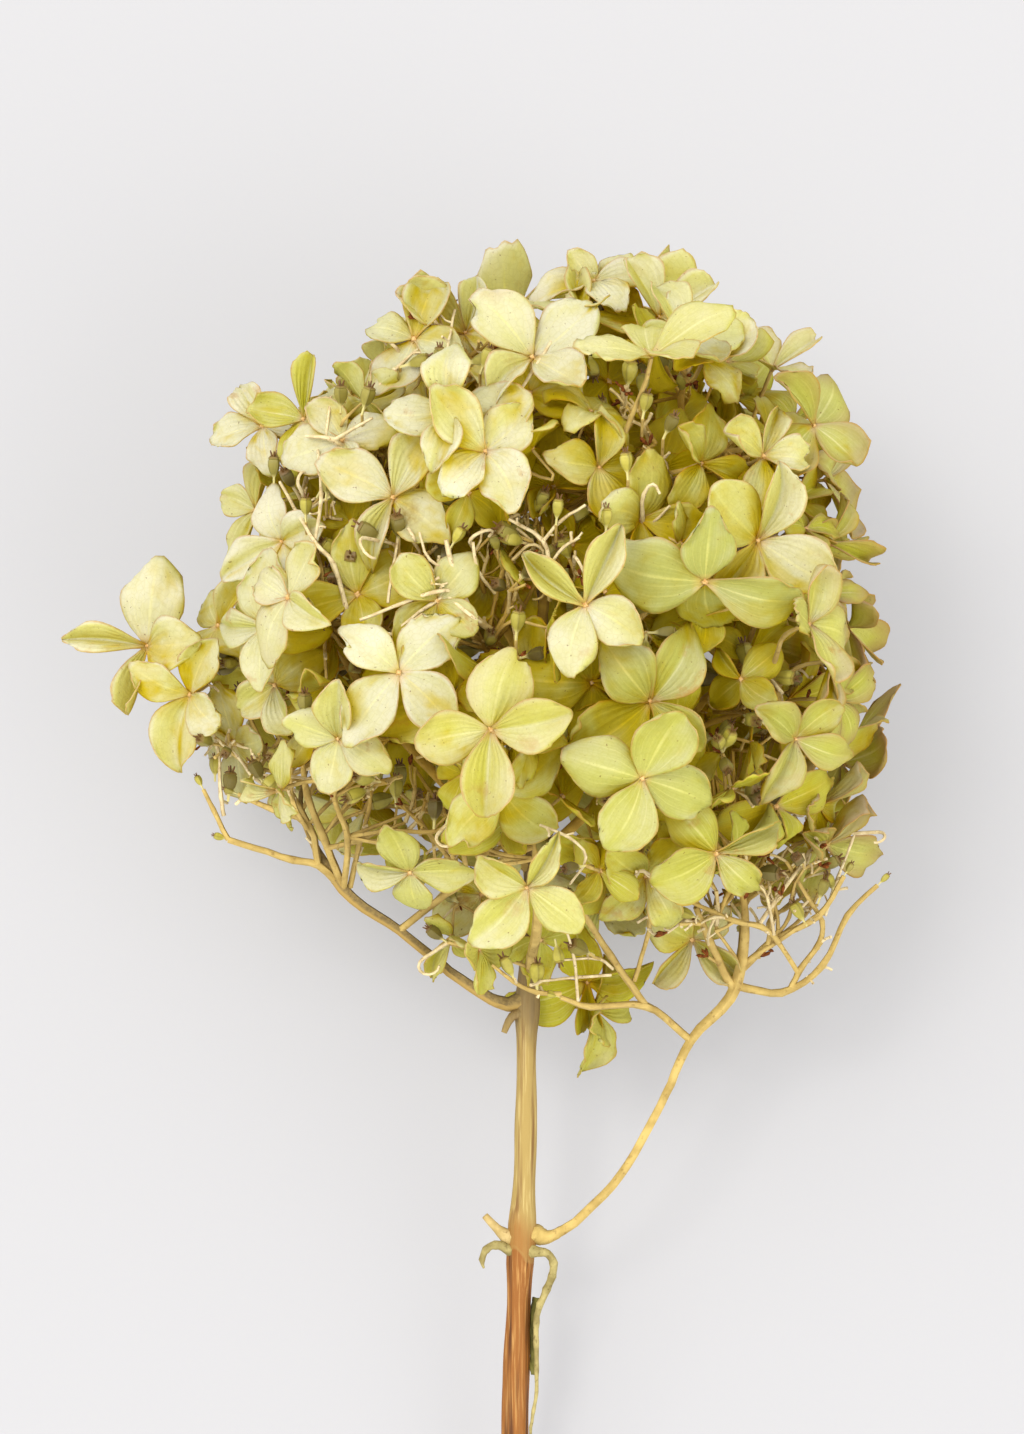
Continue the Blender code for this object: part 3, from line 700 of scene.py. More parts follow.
strays = {  # single florets that hang below the head beside the stem, and one that stands up at its top
    "seed": 19,
    "stalk": (0.5, 0.38, 0.36),
    "rows": [  # its spray, u, v, w, where it faces, turn, sepal
        ("front_low", -9.4, 97.0, 16, (0.85, -0.15, 0.5), 0, 10.5),
        ("front_low", -14.6, 99.8, 10, (-0.2, -0.85, 0.45), 20, 8.0),
        ("front_low", -8.6, 108.0, 4, (-0.3, -0.2, 0.93), 40, 11.5),
        ("front_low", 3.0, 99.0, 6, (0.2, -0.6, 0.75), 10, 10.5),
        ("front_low", 13.8, 85.0, -6, (0.8, -0.1, 0.55), 8, 13.5),
        ("crown", 14.5, 228.5, 14, (0.0, 0.35, 0.94), 58, 11.5),
    ],
}
headOutline = {  # how far the fillers reach from this middle in the camera's view: degrees, mm
    "middle": (5.0, 160.0),
    "most": 12.0,
    "slack": 0.5,
    "upright": 1.1,
    "frontFrom": -12,  # florets behind this depth don't count as front ones
    "frontSpot": 4.5,
    "ownSpot": 4,
    "ownStalk": 1.5,
    "rows": [
        (0, 62), (20, 66), (35, 74), (45, 77), (60, 73), (80, 79), (90, 75), (100, 69), (110, 70), (130, 68),
        (140, 70), (150, 70), (165, 68), (185, 67), (200, 69), (215, 66), (230, 64), (250, 68), (262, 80),
        (285, 80), (300, 76), (320, 78), (335, 73), (350, 66), (360, 62),
    ],
}


def shiftFloret(spray, floret, shift):
    for path in spray["twigs"]:
        if (path[-1][0] - floret["centre"]).length < headOutline["ownStalk"]:
            path[-2:] = [(place + shift, radius) for place, radius in path[-2:]]
    floret["centre"] = floret["centre"] + shift


def pictured(place):
    # where the camera sees a place, in the plane through the head's middle
    nearer = 1 - place.z / view["distance"]
    middleU, middleV = view["middle"]
    return Vector((middleU + (place.x - middleU) / nearer, middleV + (place.y - middleV) / nearer))


def rimReach(away):
    turned = math.degrees(math.atan2(away.y, away.x)) % 360
    return np.interp(turned, *zip(*headOutline["rows"]))


def tuckFlorets():
    # fillers at the rim turn edge-on to the camera and draw in to the head's outline
    middle = Vector(headOutline["middle"])
    tucked = 0
    for spray in sprays.values():
        for floret in spray["florets"]:
            centre = floret["centre"]
            spot = pictured(centre)
            inFront = centre.z > headOutline["frontFrom"]
            for u, v, share, shift in ownSizes:
                if inFront and (spot - Vector((u, v))).length < headOutline["ownSpot"]:
                    shiftFloret(spray, floret, Vector(shift))
                    floret["size"] *= share
            frontSpot = headOutline["frontSpot"]
            if inFront and any((spot - Vector(row[:2])).length < frontSpot for row in frontRows):
                continue
            worst = Vector((0, 0))
            for place in sepalEdge(floret):
                away = pictured(place) - middle
                excess = away.length - rimReach(away)
                if excess > worst.length:
                    worst = away.normalized() * excess
            if worst.length > headOutline["slack"]:
                way = surfaceNormal(centre)
                floret["normal"] = (floret["normal"] + way * headOutline["upright"]).normalized()
                inward = -worst.normalized() * min(worst.length, headOutline["most"])
                shiftFloret(spray, floret, Vector((inward.x, inward.y, 0)))
                tucked += 1
    print("florets drawn in at the rim:", tucked)


def addStrays():
    rng = random.Random(strays["seed"])
    for name, u, v, w, facing, turn, size in strays["rows"]:
        floret = newFloret(rng, seen(u, v, w), Vector(facing), turn, size)
        hangFloret(name, floret, strays["stalk"])


tuckFlorets()
addStrays()


# What the solids leave out: florets deeper in the head, which close it

inner = {  # a layer inside, and small tilted ones between the outer florets
    "seed": 23,
    "layers": [
        {"count": 120, "shares": (0.55, 0.8), "room": 10.5, "size": (11.0, 14.5), "lean": 0.65, "turn": 1.0},
        {"count": 200, "shares": (0.82, 0.97), "room": 8.6, "size": (8.5, 12.0), "lean": 1.0, "turn": 4.0},
    ],
    "lowestV": 112.0,
    "slope": -0.3,
    "insideRim": 8.0,
    "stalk": (0.55, 0.38, 0.38),
    "bare": [  # where the bare twigs show: u, v, radius, and from which depth on
        (-36, 130, 12, -14), (-20, 122, 13, 0), (-52, 129, 12, -14), (-8, 112, 9, 0),
        (48, 106, 13, -10), (60, 108, 10, -10), (32, 104, 9, -10),
        (-17, 169, 12, 34), (-4, 167, 7, 36), (4, 178, 8, 36), (-15, 213, 9, 20), (23, 202, 8, 28),
        (-31, 160, 6, 30), (-44, 180, 6, 24), (20, 188, 6, 34),
    ],
}


def undersideAt(u):
    return inner["lowestV"] + inner["slope"] * u


def addInnerFlorets(layer):
    rng = random.Random(inner["seed"] + layer["count"])
    taken = [floret for spray in sprays.values() for floret in spray["florets"]]
    count = 0
    for v, share, angle in evenSpots(layer["count"], layer["turn"]):
        depth = rng.uniform(*layer["shares"])
        across = head["halfWidth"] * share * math.cos(angle) * depth
        along = head["halfDepth"] * share * math.sin(angle) * depth
        upright = head["middleV"] + (v - head["middleV"]) * (0.5 + depth / 2)
        centre = Vector((head["axisU"] + across, upright, along))
        normal = surfaceNormal(Vector((head["axisU"] + across / depth, v, along / depth)))
        lean = anyLean(rng) * layer["lean"]
        floret = newFloret(rng, centre, normal + lean, rng.uniform(0, 90), rng.uniform(*layer["size"]))
        near = min((centre - other["centre"]).length for other in taken)
        if near < layer["room"] or centre.y < undersideAt(centre.x):
            continue
        seenBare = [hole for hole in inner["bare"] if (centre.xy - Vector(hole[:2])).length < hole[2]]
        if tableShift(floret, rest["gap"]).z > 0 or any(centre.z > hole[3] for hole in seenBare):
            continue
        away = pictured(centre) - Vector(headOutline["middle"])
        if away.length > rimReach(away) - inner["insideRim"]:
            continue
        floret["inner"] = True
        hangFloret(nearestSpray(footOf(floret)), floret, inner["stalk"])
        taken.append(floret)
        count += 1
    print("inner florets:", count)


for layer in inner["layers"]:
    addInnerFlorets(layer)


# Colour of each floret: paler towards the upper left, greyer and pinker to the right; the inner ones take
# less cream, which is painted shade deep in the head

tones = {
    "seed": 31,
    "greySpots": [
        (37.4, 171.8, 0.85), (27.8, 148.2, 0.55), (17.4, 131.0, 0.5), (40.4, 119.2, 0.4), (50, 136.2, 0.5),
    ],
    "creamSpots": [
        (-14.4, 202.2, 1.0), (-26.8, 188.4, 0.95), (-8.2, 190.6, 0.95), (-24.4, 149.2, 1.0),
        (1.2, 112.4, 0.55),
    ],
    "spotReach": 3.0,
    "cream": (0.6, 0.2),
    # painted shade: the inner florets take this lower cream share, so they come out darker olive
    "creamInnerShaded": (0.22, 0.16),
    "creamUp": 300,  # mm up, and to the left, over which it grows by one
    "creamLeft": 260,
    "grey": (0.06, 0.12),
    "greyFrom": 25,
    "greyOver": 160,
    "age": (0.25, 0.3),
    "scars": [(-24.0, 184.6, 3.4)],  # a brown patch on the lit side: u, v, radius
    "scarSoft": 1.6,  # how many radii out it ends
    "blushFrom": 44.0,
    "blushTo": 68.0,
    "blush": 0.75,
    "blushMore": (-0.05, 0.1),
}


def toneFlorets():
    rng = random.Random(tones["seed"])
    for spray in sprays.values():
        for floret in spray["florets"]:
            place = floret["centre"]
            # painted shade: inner florets draw their cream from the lower share
            kind = "creamInnerShaded" if "inner" in floret else "cream"
            higher = (place.y - head["middleV"]) / tones["creamUp"]
            leftTop = higher - (place.x - head["axisU"]) / tones["creamLeft"]
            floret["cream"] = rng.gauss(*tones[kind]) + leftTop
            greyer = max(0.0, place.x - tones["greyFrom"]) / tones["greyOver"]
            floret["grey"] = max(0.0, rng.gauss(*tones["grey"]) + greyer)
            rightShare = (place.x - tones["blushFrom"]) / (tones["blushTo"] - tones["blushFrom"])
            rightShare = min(1.0, max(0.0, rightShare))
            floret["blush"] = rightShare * tones["blush"] + max(0.0, rng.gauss(*tones["blushMore"]))
            floret["age"] = max(0.0, rng.gauss(*tones["age"]))
            for tone in ("grey", "cream"):
                for u, v, amount in tones[tone + "Spots"]:
                    if abs(place.x - u) + abs(place.y - v) < 2 * tones["spotReach"] and place.z > 0:
                        floret[tone] = amount


toneFlorets()


# Sepals

sepal = {
    "grids": {"outer": (10, 11), "inner": (6, 7)},  # columns and rows
    "reach": 1.02,
    "tipRound": 0.168,
    "halfWidth": [
        (0, 0.03), (0.03, 0.05), (0.1, 0.125), (0.2, 0.235),
        (0.4, 0.37), (0.6, 0.405), (0.8, 0.36), (1, 0.255),
    ],
    "belly": 0.14,  # how much wider or narrower the tip half can be
    "thickness": 0.26,
    "seed": 47,
    "point": (-0.02, 0.1),
    "skew": 0.1,
    "fold": (0.12, 0.13),
    "foldedShare": 0.2,
    "foldedAngle": (0.5, 1.1),
    "cup": (0.05, 0.09),
    "curl": (-0.05, 0.4),
    "ruffle": (0.006, 0.03),
    "waves": (2.5, 5.0),
    "crease": (0.0, 0.022),
    "creases": (1.0, 2.0),
    "shingle": 0.03,
    "pairDrop": 0.03,  # the outer pair lies under the inner pair and is larger
    "pairSize": 0.05,
    "scallop": 0.026,
    "scallops": (7.0, 15.0),
    "fray": (0.004, 0.03),
    "raggedShare": 0.07,
    "ragged": 0.1,
    "liftMore": 0.21,
    "turnMore": 0.09,
    "reachMore": (0.84, 1.07),
    "tornShare": 0.13,
    "tornDepth": (0.06, 0.2),
    "tornWidth": 0.09,
    "lostInner": 0.25,
    "lowest": 0.0002,  # m above the table
}


def smoothRead(points, at):
    # reads a smooth curve through points at the places given
    xs = np.array([x for x, _ in points], float)
    ys = np.array([y for _, y in points], float)
    slopes = np.gradient(ys, xs)
    k = np.clip(np.searchsorted(xs, at, side="right") - 1, 0, len(xs) - 2)
    span = xs[k + 1] - xs[k]
    t = (at - xs[k]) / span
    rise = (2 * t**3 - 3 * t**2 + 1) * ys[k] + (3 * t**2 - 2 * t**3) * ys[k + 1]
    return rise + span * ((t**3 - 2 * t**2 + t) * slopes[k] + (t**3 - t**2) * slopes[k + 1])


def laid(places):
    # many places at once, from u, v, w to metres on the table
    return places @ np.array(lyingTurn).T * mm + np.array(lie["place"])


def standing(places):
    # the way back
    return (places - np.array(lie["place"])) / mm @ np.array(lyingTurn)


def floatsOf(mesh, name, values):
    held = mesh.attributes.get(name) or mesh.attributes.new(name, "FLOAT", "POINT")
    held.data.foreach_set("value", np.asarray(values, np.float32))


def vertexPlaces(mesh):
    places = np.zeros(len(mesh.vertices) * 3, np.float32)
    mesh.vertices.foreach_get("co", places)
    return places.reshape(-1, 3).astype(float)


def setPlaces(mesh, places):
    mesh.vertices.foreach_set("co", np.asarray(places, np.float32).ravel())
    mesh.update()


def flatSepal(columns, rows):
    # a grid drawn out into one flat sepal, base at zero and tip along y
    bpy.ops.mesh.primitive_grid_add(x_subdivisions=columns, y_subdivisions=rows, size=2)
    blank = bpy.context.object
    blank.name = "sepal_blank"
    places = vertexPlaces(blank.data)
    across = places[:, 0].copy()
    along = (places[:, 1] + 1) / 2
    places[:, 0] = across * smoothRead(sepal["halfWidth"], along)
    places[:, 1] = sepal["reach"] * along - sepal["tipRound"] * (across * along) ** 2
    places[:, 2] = 0
    setPlaces(blank.data, places)
    floatsOf(blank.data, "across", across)
    floatsOf(blank.data, "along", along)
    return blank


def shapeSepal(blank, floret, k, rng):
    # a copy of the blank, bent and laid where this sepal grows
    mesh = blank.data.copy()
    flat = vertexPlaces(mesh)
    across = np.zeros(len(flat), np.float32)
    along = np.zeros(len(flat), np.float32)
    mesh.attributes["across"].data.foreach_get("value", across)
    mesh.attributes["along"].data.foreach_get("value", along)
    own = floret["sepals"][k]
    outerPair = 1 if k % 2 else -1
    pointed = rng.uniform(*sepal["point"])
    belly = rng.gauss(0, sepal["belly"])
    skew = rng.gauss(0, sepal["skew"])
    foldAngle = rng.gauss(*sepal["fold"])
    if rng.random() < sepal["foldedShare"]:
        foldAngle = rng.uniform(*sepal["foldedAngle"])
    cup = rng.gauss(*sepal["cup"])
    curl = rng.gauss(*sepal["curl"])
    ruffle = rng.uniform(*sepal["ruffle"])
    waves = rng.uniform(*sepal["waves"])
    phase = rng.uniform(0, math.tau)
    torn = rng.random() < sepal["tornShare"]
    tornAt = rng.uniform(-0.8, 0.8)
    tornDepth = rng.uniform(*sepal["tornDepth"])
    edge = np.maximum(np.abs(across), along) > 0.999
    fray = sepal["ragged"] if rng.random() < sepal["raggedShare"] else rng.uniform(*sepal["fray"])
    scallops = rng.uniform(*sepal["scallops"])
    x = flat[:, 0] * (1 - np.maximum(pointed, 0) * along**3) * (1 + belly * (along - 0.6))
    y = flat[:, 1] + pointed * (1 - across**2) ** 2 * along**4
    offset = np.arctan2(x, np.maximum(y, 1e-6))
    share = np.hypot(x, y)
    wear = np.array([rng.uniform(0, fray) for _ in range(len(flat))])
    wear += sepal["scallop"] / 2 * (1 + np.sin(offset * scallops + phase))
    wear *= edge * np.clip(along * 3 - 0.6, 0, 1)
    wear += torn * tornDepth * np.exp(-(((offset - tornAt * 0.6) / sepal["tornWidth"]) ** 2)) * along**5
    share = share * (1 - wear)
    x = share * np.sin(offset)
    y = share * np.cos(offset)
    height = np.abs(x) * math.sin(foldAngle) + cup * across**2 * along
    height += curl * np.maximum(along - 0.5, 0) ** 2 + sepal["shingle"] * across * along
    height += ruffle * np.sin(waves * (across * 2 + along * 3) + phase) * (np.abs(across) ** 2 + along**3)
    creases = rng.uniform(*sepal["creases"])
    height += rng.gauss(*sepal["crease"]) * np.sin(math.pi * creases * across + phase) * np.sqrt(along)
    height += sepal["pairDrop"] * outerPair * np.minimum(along * 3, 1) / 2
    offset = np.arctan2(x * math.cos(foldAngle), np.maximum(y, 1e-6)) + skew * share**2
    turned = floret["spin"] + k * math.tau / form["sepals"] + rng.gauss(0, sepal["turnMore"])
    angle = turned + offset * own["width"] + own["twist"] * share
    reach = share * own["length"] * (1 - outerPair * sepal["pairSize"]) * rng.uniform(*sepal["reachMore"])
    lift = (own["lift"] + rng.gauss(0, sepal["liftMore"])) * reach
    height += lift + own["arch"] * np.sin(math.pi * np.minimum(share, 1))
    first, second = faceAxes(floret)
    level = np.outer(np.cos(angle) * reach, first) + np.outer(np.sin(angle) * reach, second)
    places = np.array(floret["centre"]) + (level + np.outer(height, floret["normal"])) * floret["size"]
    places = laid(places)
    places[:, 2] = np.maximum(places[:, 2], sepal["lowest"])
    setPlaces(mesh, places)
    for name in ("cream", "grey", "blush", "age"):
        floatsOf(mesh, name, np.full(len(flat), floret[name] + rng.gauss(0, 0.05)))
    scar = np.zeros(len(flat))
    for u, v, radius in tones["scars"]:
        spot = np.array(onTable(*seen(u, v, frontDepth(u, v))))
        away = np.linalg.norm(places - spot, axis=1) / mm
        scar = np.maximum(scar, np.clip(tones["scarSoft"] - away / radius, 0, 1))
    floatsOf(mesh, "scar", scar)
    made = bpy.data.objects.new("sepal", mesh)
    bpy.context.scene.collection.objects.link(made)
    return made


def joined(name, parts):
    bpy.ops.object.select_all(action="DESELECT")
    for part in parts:
        part.select_set(True)
    bpy.context.view_layer.objects.active = parts[0]
    if len(parts) > 1:
        bpy.ops.object.join()
    whole = bpy.context.object
    whole.name = name
    whole.data.name = name
    return whole


def thicken(piece, thickness):
    wall = piece.modifiers.new("thickness", "SOLIDIFY")
    wall.thickness = thickness * mm
    wall.offset = 0
    bpy.context.view_layer.objects.active = piece
    bpy.ops.object.modifier_apply(modifier=wall.name)


# The bead in a floret's middle: its closed bud, dried hard

bead = {"radius": 0.62, "flat": 0.75, "lobes": 0.25, "sit": 0.25, "sides": 8, "rings": 5}


def beadBlank():
    bpy.ops.mesh.primitive_uv_sphere_add(
        segments=bead["sides"], ring_count=bead["rings"], radius=bead["radius"]
    )
    blank = bpy.context.object
    places = vertexPlaces(blank.data)
    angle = np.arctan2(places[:, 1], places[:, 0])
    swell = 1 + bead["lobes"] * np.cos(4 * angle)
    places[:, :2] *= swell[:, None]
    places[:, 2] *= bead["flat"]
    setPlaces(blank.data, places)
    blank.data.shade_smooth()
    return blank


def stamp(blank, place, heading, spin, size):
    # a copy of a blank made in mm, its z turned along heading, laid on the table
    turn = Vector(heading).to_track_quat("Z", "Y").to_matrix().to_4x4()
    whole = Matrix.Translation(place) @ turn @ Matrix.Rotation(spin, 4, "Z") @ Matrix.Scale(size, 4)
    mesh = blank.data.copy()
    mesh.transform(lyingMatrix @ Matrix.Scale(mm, 4) @ whole)
    made = bpy.data.objects.new(blank.name, mesh)
    bpy.context.scene.collection.objects.link(made)
    return made


# Capsules: fertile flowers gone to seed, with their dried styles

capsule = {
    "sides": 8,
    "ribs": 0.1,
    "rings": [  # height and radius, the last on the lid inside the rim
        (0, 0.26), (1.6, 0.28), (2.2, 0.66), (3.1, 1.14), (4.1, 1.38), (5.1, 1.36), (5.5, 1.1), (5.7, 1.25),
        (6.05, 0.9), (6.0, 0.35),
    ],
    "beaks": 3,
    "beakLength": 1.25,
    "beakRadius": 0.27,
    "beakOut": 0.36,
    "beakLean": 0.3,
    "height": 6.1,
}


def drawnOut(name, sides, rings):
    # a disc drawn out from ring to ring, each a height and a radius
    (start, radius), *others = rings
    bpy.ops.mesh.primitive_circle_add(vertices=sides, radius=radius, fill_type="NGON")
    made = bpy.context.object
    made.name = name
    bpy.ops.object.mode_set(mode="EDIT")
    bottom = start
    for along, wider in others:
        bpy.ops.mesh.extrude_region_move(TRANSFORM_OT_translate={"value": (0, 0, along - bottom)})
        size = wider / radius
        bpy.ops.transform.resize(value=(size, size, 1), center_override=(0, 0, along - start))
        bottom, radius = along, wider
    bpy.ops.mesh.select_all(action="SELECT")
    bpy.ops.mesh.normals_make_consistent(inside=False)
    bpy.ops.object.mode_set(mode="OBJECT")
    return made


def capsuleBlank():
    body = drawnOut("capsule_blank", capsule["sides"], capsule["rings"])
    places = vertexPlaces(body.data)
    corner = np.round(np.arctan2(places[:, 1], places[:, 0]) * capsule["sides"] / math.tau)
    places[:, :2] *= (1 + capsule["ribs"] * (-1.0) ** corner)[:, None]
    setPlaces(body.data, places)
    floatsOf(body.data, "valley", (1 + (-1.0) ** corner) / 2)
    parts = [body]
    length, radius, lean = capsule["beakLength"], capsule["beakRadius"], capsule["beakLean"]
    out = capsule["beakOut"] + math.sin(lean) * length / 2
    for k in range(capsule["beaks"]):
        angle = k * math.tau / capsule["beaks"]
        spot = (math.cos(angle) * out, math.sin(angle) * out, capsule["height"] + length * 0.4)
        bpy.ops.mesh.primitive_cone_add(
            vertices=4, radius1=radius, radius2=radius / 2, depth=length,
            location=spot, rotation=(0, lean, angle),
        )
        bpy.ops.object.transform_apply(location=True, rotation=True, scale=True)
        parts.append(bpy.context.object)
    blank = joined("capsule_blank", parts)
    blank.data.shade_smooth()
    blank.data.set_sharp_from_angle(angle=math.radians(50))
    floatsOf(blank.data, "along", vertexPlaces(blank.data)[:, 2] / capsule["height"])
    return blank


# Buds: small dark flowers that never opened

bud = {"radius": 0.42, "long": 2.3}


def budBlank():
    bpy.ops.mesh.primitive_ico_sphere_add(subdivisions=1, radius=bud["radius"])
    blank = bpy.context.object
    blank.name = "bud_blank"
    places = vertexPlaces(blank.data)
    places[:, 2] = (places[:, 2] + bud["radius"]) * bud["long"]
    places[:, :2] *= (0.5 + 0.5 * places[:, 2] / places[:, 2].max())[:, None]
    setPlaces(blank.data, places)
    blank.data.shade_smooth()
    return blank


# Twigs

barked, broken, weathered = range(3)  # which of a twig piece's materials a twig takes
twig = {
    "sides": 1,  # bevel resolution, which gives six sides
    "step": 2.6,
    "sway": 0.05,
    "joint": 0.2,
    "thick": 1.0,  # from this radius on it doesn't swell at the joints
    "slim": 0.82,
    "same": 0.01,  # joints this near to each other are one
    "barkedFrom": 0.6,  # thinner twigs that the camera sees are pale and broken
    "seed": 59,
    "spurShare": 0.35,
    "sideSprigs": 0.5,
    "spurLength": (1.0, 3.2),
    "spurRadius": (0.2, 0.34),
    "stubShare": 0.5,
    "stubLength": (2.5, 6.5),
    "stubRadius": (0.24, 0.38),
    "capsuleShare": 0.35,
    "capsuleMost": 3,
    "tipV": 132.0,  # capsules that sit lower than this on the bare branches stayed small
    "tipSize": 0.5,
    "capsuleSize": (0.8, 1.15),
    "capsuleAge": (0.42, 0.38),
    "budShare": 0.45,
    "budMost": 3,
    "budSize": (0.8, 1.4),
    # painted shade on twigs inside the head: where it starts, over how far it grows, and how far above the
    # underside it closes
    "shadeFrom": 0.95,
    "shadeOver": 0.3,
    "closesOver": 14.0,
    "hookShare": 0.06,
    "hookRadius": (1.4, 2.4),
    "hookTurn": (2.6, 4.2),
    "hookRise": (3.0, 6.0),
    "hookSteps": 8,
}
sprigs = {  # fine forked twigs that come up in the gaps between florets
    "seed": 83,
    "count": 260,
    "turn": 2,
    "room": 7.8,
    "clear": 12,  # above the table
    "shares": (0.86, 1.0),
    "rootShare": 0.72,
    "rootRadius": 0.5,
    "gapRadii": (0.48, 0.45),
    "thicketRadii": (0.46, 0.42),
    "reach": (4.0, 8.0),
    "radius": (0.34, 0.46),
    "last": (0.7, 0.8),  # how much shorter and thinner the last ones are
    "children": (2, 4),
    "spread": 0.75,
    "pale": 0.45,
    "spurShare": 0.25,
    "buds": 0.2,
    "budMost": 4,
    "budSize": (0.8, 1.5),
    "hooks": 0.04,
    "capsuleSunk": 1.5,
    "thickets": [  # tangles of bare twigs where no floret closes the head: u, v, w, how wide, how many
        (-18, 167, 40, 8, 8), (-4, 167, 42, 5, 4), (4, 176, 40, 6, 5), (-15, 212, 27, 7, 8),
        (23, 200, 34, 6, 6), (-30, 159, 32, 6, 4), (-44, 180, 24, 6, 4), (20, 187, 36, 5, 3),
        (-36, 128, 10, 8, 6), (-21, 121, 20, 7, 6), (-53, 134, 6, 5, 4), (-8, 118, 28, 7, 5),
        (50, 104, 8, 8, 5), (60, 112, 8, 6, 4), (38, 104, 12, 6, 4),
    ],
    "thicketWay": (0.0, 0.8, 0.35),
    "thicketSpread": 0.8,
    "thicketFruit": 0.22,
}
seenTwigs = {  # bare twigs below the florets, as the camera sees them: u, v, w, radius
    "left_low": [
        [(-35, 109.4, 10, 0.6), (-33.2, 117.8, 16, 0.5), (-31.2, 125, 20, 0.42), (-30.8, 130.8, 22, 0.35)],
        [(-40, 117.2, 12, 0.6), (-33.2, 118.6, 17, 0.5), (-28.8, 120.6, 20, 0.5), (-18.6, 120.4, 24, 0.42),
         (-13.8, 122.6, 28, 0.38)],
        [(-13.8, 113.4, 16, 0.5), (-17.6, 118.2, 20, 0.42), (-22.4, 123.6, 22, 0.36), (-25.4, 126, 22, 0.3)],
        [(-11.8, 112.8, 17, 0.55), (-12.8, 120.2, 26, 0.5), (-13.8, 131.2, 32, 0.42)],
        [(-11.4, 122.6, 27, 0.42), (-7, 129.8, 34, 0.38), (-1.6, 137.2, 42, 0.3)],
        [(-12, 117.8, 24, 0.45), (-6, 119.2, 30, 0.4), (-2, 125.4, 34, 0.35)],
        [(-57.8, 126, 7, 0.38), (-55, 128.8, 10, 0.32), (-54.4, 132.2, 10, 0.3), (-55, 139.6, 8, 0.26)],
        [(-60.2, 123.6, 6, 0.45), (-60.8, 127.4, 6, 0.4), (-61.6, 138, 6, 0.32), (-64.6, 143.8, 6, 0.28)],
        [(-48, 127.4, 9, 0.36), (-54.2, 131.2, 9, 0.3), (-57.4, 135.4, 9, 0.26), (-59.8, 137.8, 9, 0.24)],
        [(-43.6, 121, 10, 0.5), (-46.4, 126.4, 12, 0.45), (-46.8, 132.2, 12, 0.4), (-46.4, 139, 12, 0.35)],
    ],
    "right_low": [
        [(21.8, 90.6, 8, 0.5), (24.6, 99.8, 12, 0.4), (25, 103.6, 15, 0.35)],
        [(17.6, 93, 10, 0.35), (15, 95, 12, 0.3), (7.2, 94.8, 16, 0.26)],
        [(17.2, 91.8, 10, 0.32), (10.8, 91.4, 13, 0.3), (3.2, 90.6, 16, 0.24)],
        [(10.6, 86.6, 12, 0.32), (9.8, 95.2, 16, 0.28), (7.6, 102.6, 22, 0.24)],
        [(42, 88.8, 6, 0.95), (39.8, 92.4, 7.5, 0.85), (37, 98.4, 10, 0.75), (34.2, 105.4, 14, 0.65)],
        [(42.4, 91.2, 6, 0.7), (44.4, 94.4, 7, 0.65), (46.2, 95.8, 8, 0.55), (56.2, 102.2, 12, 0.45)],
        [(52.8, 88.4, 7, 0.62), (54.8, 92.6, 8, 0.6), (59, 98.4, 9, 0.55), (59.4, 102.6, 10, 0.5),
         (56.8, 106.8, 11, 0.45), (52.2, 114.6, 14, 0.4)],
        [(54.6, 92.2, 8, 0.5), (50.2, 99, 12, 0.5), (47, 101.6, 14, 0.6), (42, 102.6, 16, 0.55),
         (32.4, 106.8, 18, 0.4)],
        [(7.2, 88, 13, 0.55), (2.4, 88.3, 14.5, 0.48), (-2.2, 90.4, 15.5, 0.42), (-6.6, 93.8, 16, 0.34)],
        [(47, 102.2, 14, 0.45), (53, 110.8, 14, 0.4), (55.8, 114.6, 14, 0.36), (58, 119.2, 13, 0.3)],
        [(49.8, 99.8, 13, 0.36), (48.4, 107.6, 16, 0.32), (45.6, 110.8, 18, 0.28)],
        [(60, 103.6, 10, 0.36), (62.6, 111.4, 10, 0.3), (65.4, 118.6, 10, 0.26), (66.8, 122.8, 10, 0.22)],
        [(42, 102.6, 15, 0.36), (38, 103.4, 18, 0.3), (35, 102, 19, 0.24)],
    ],
}
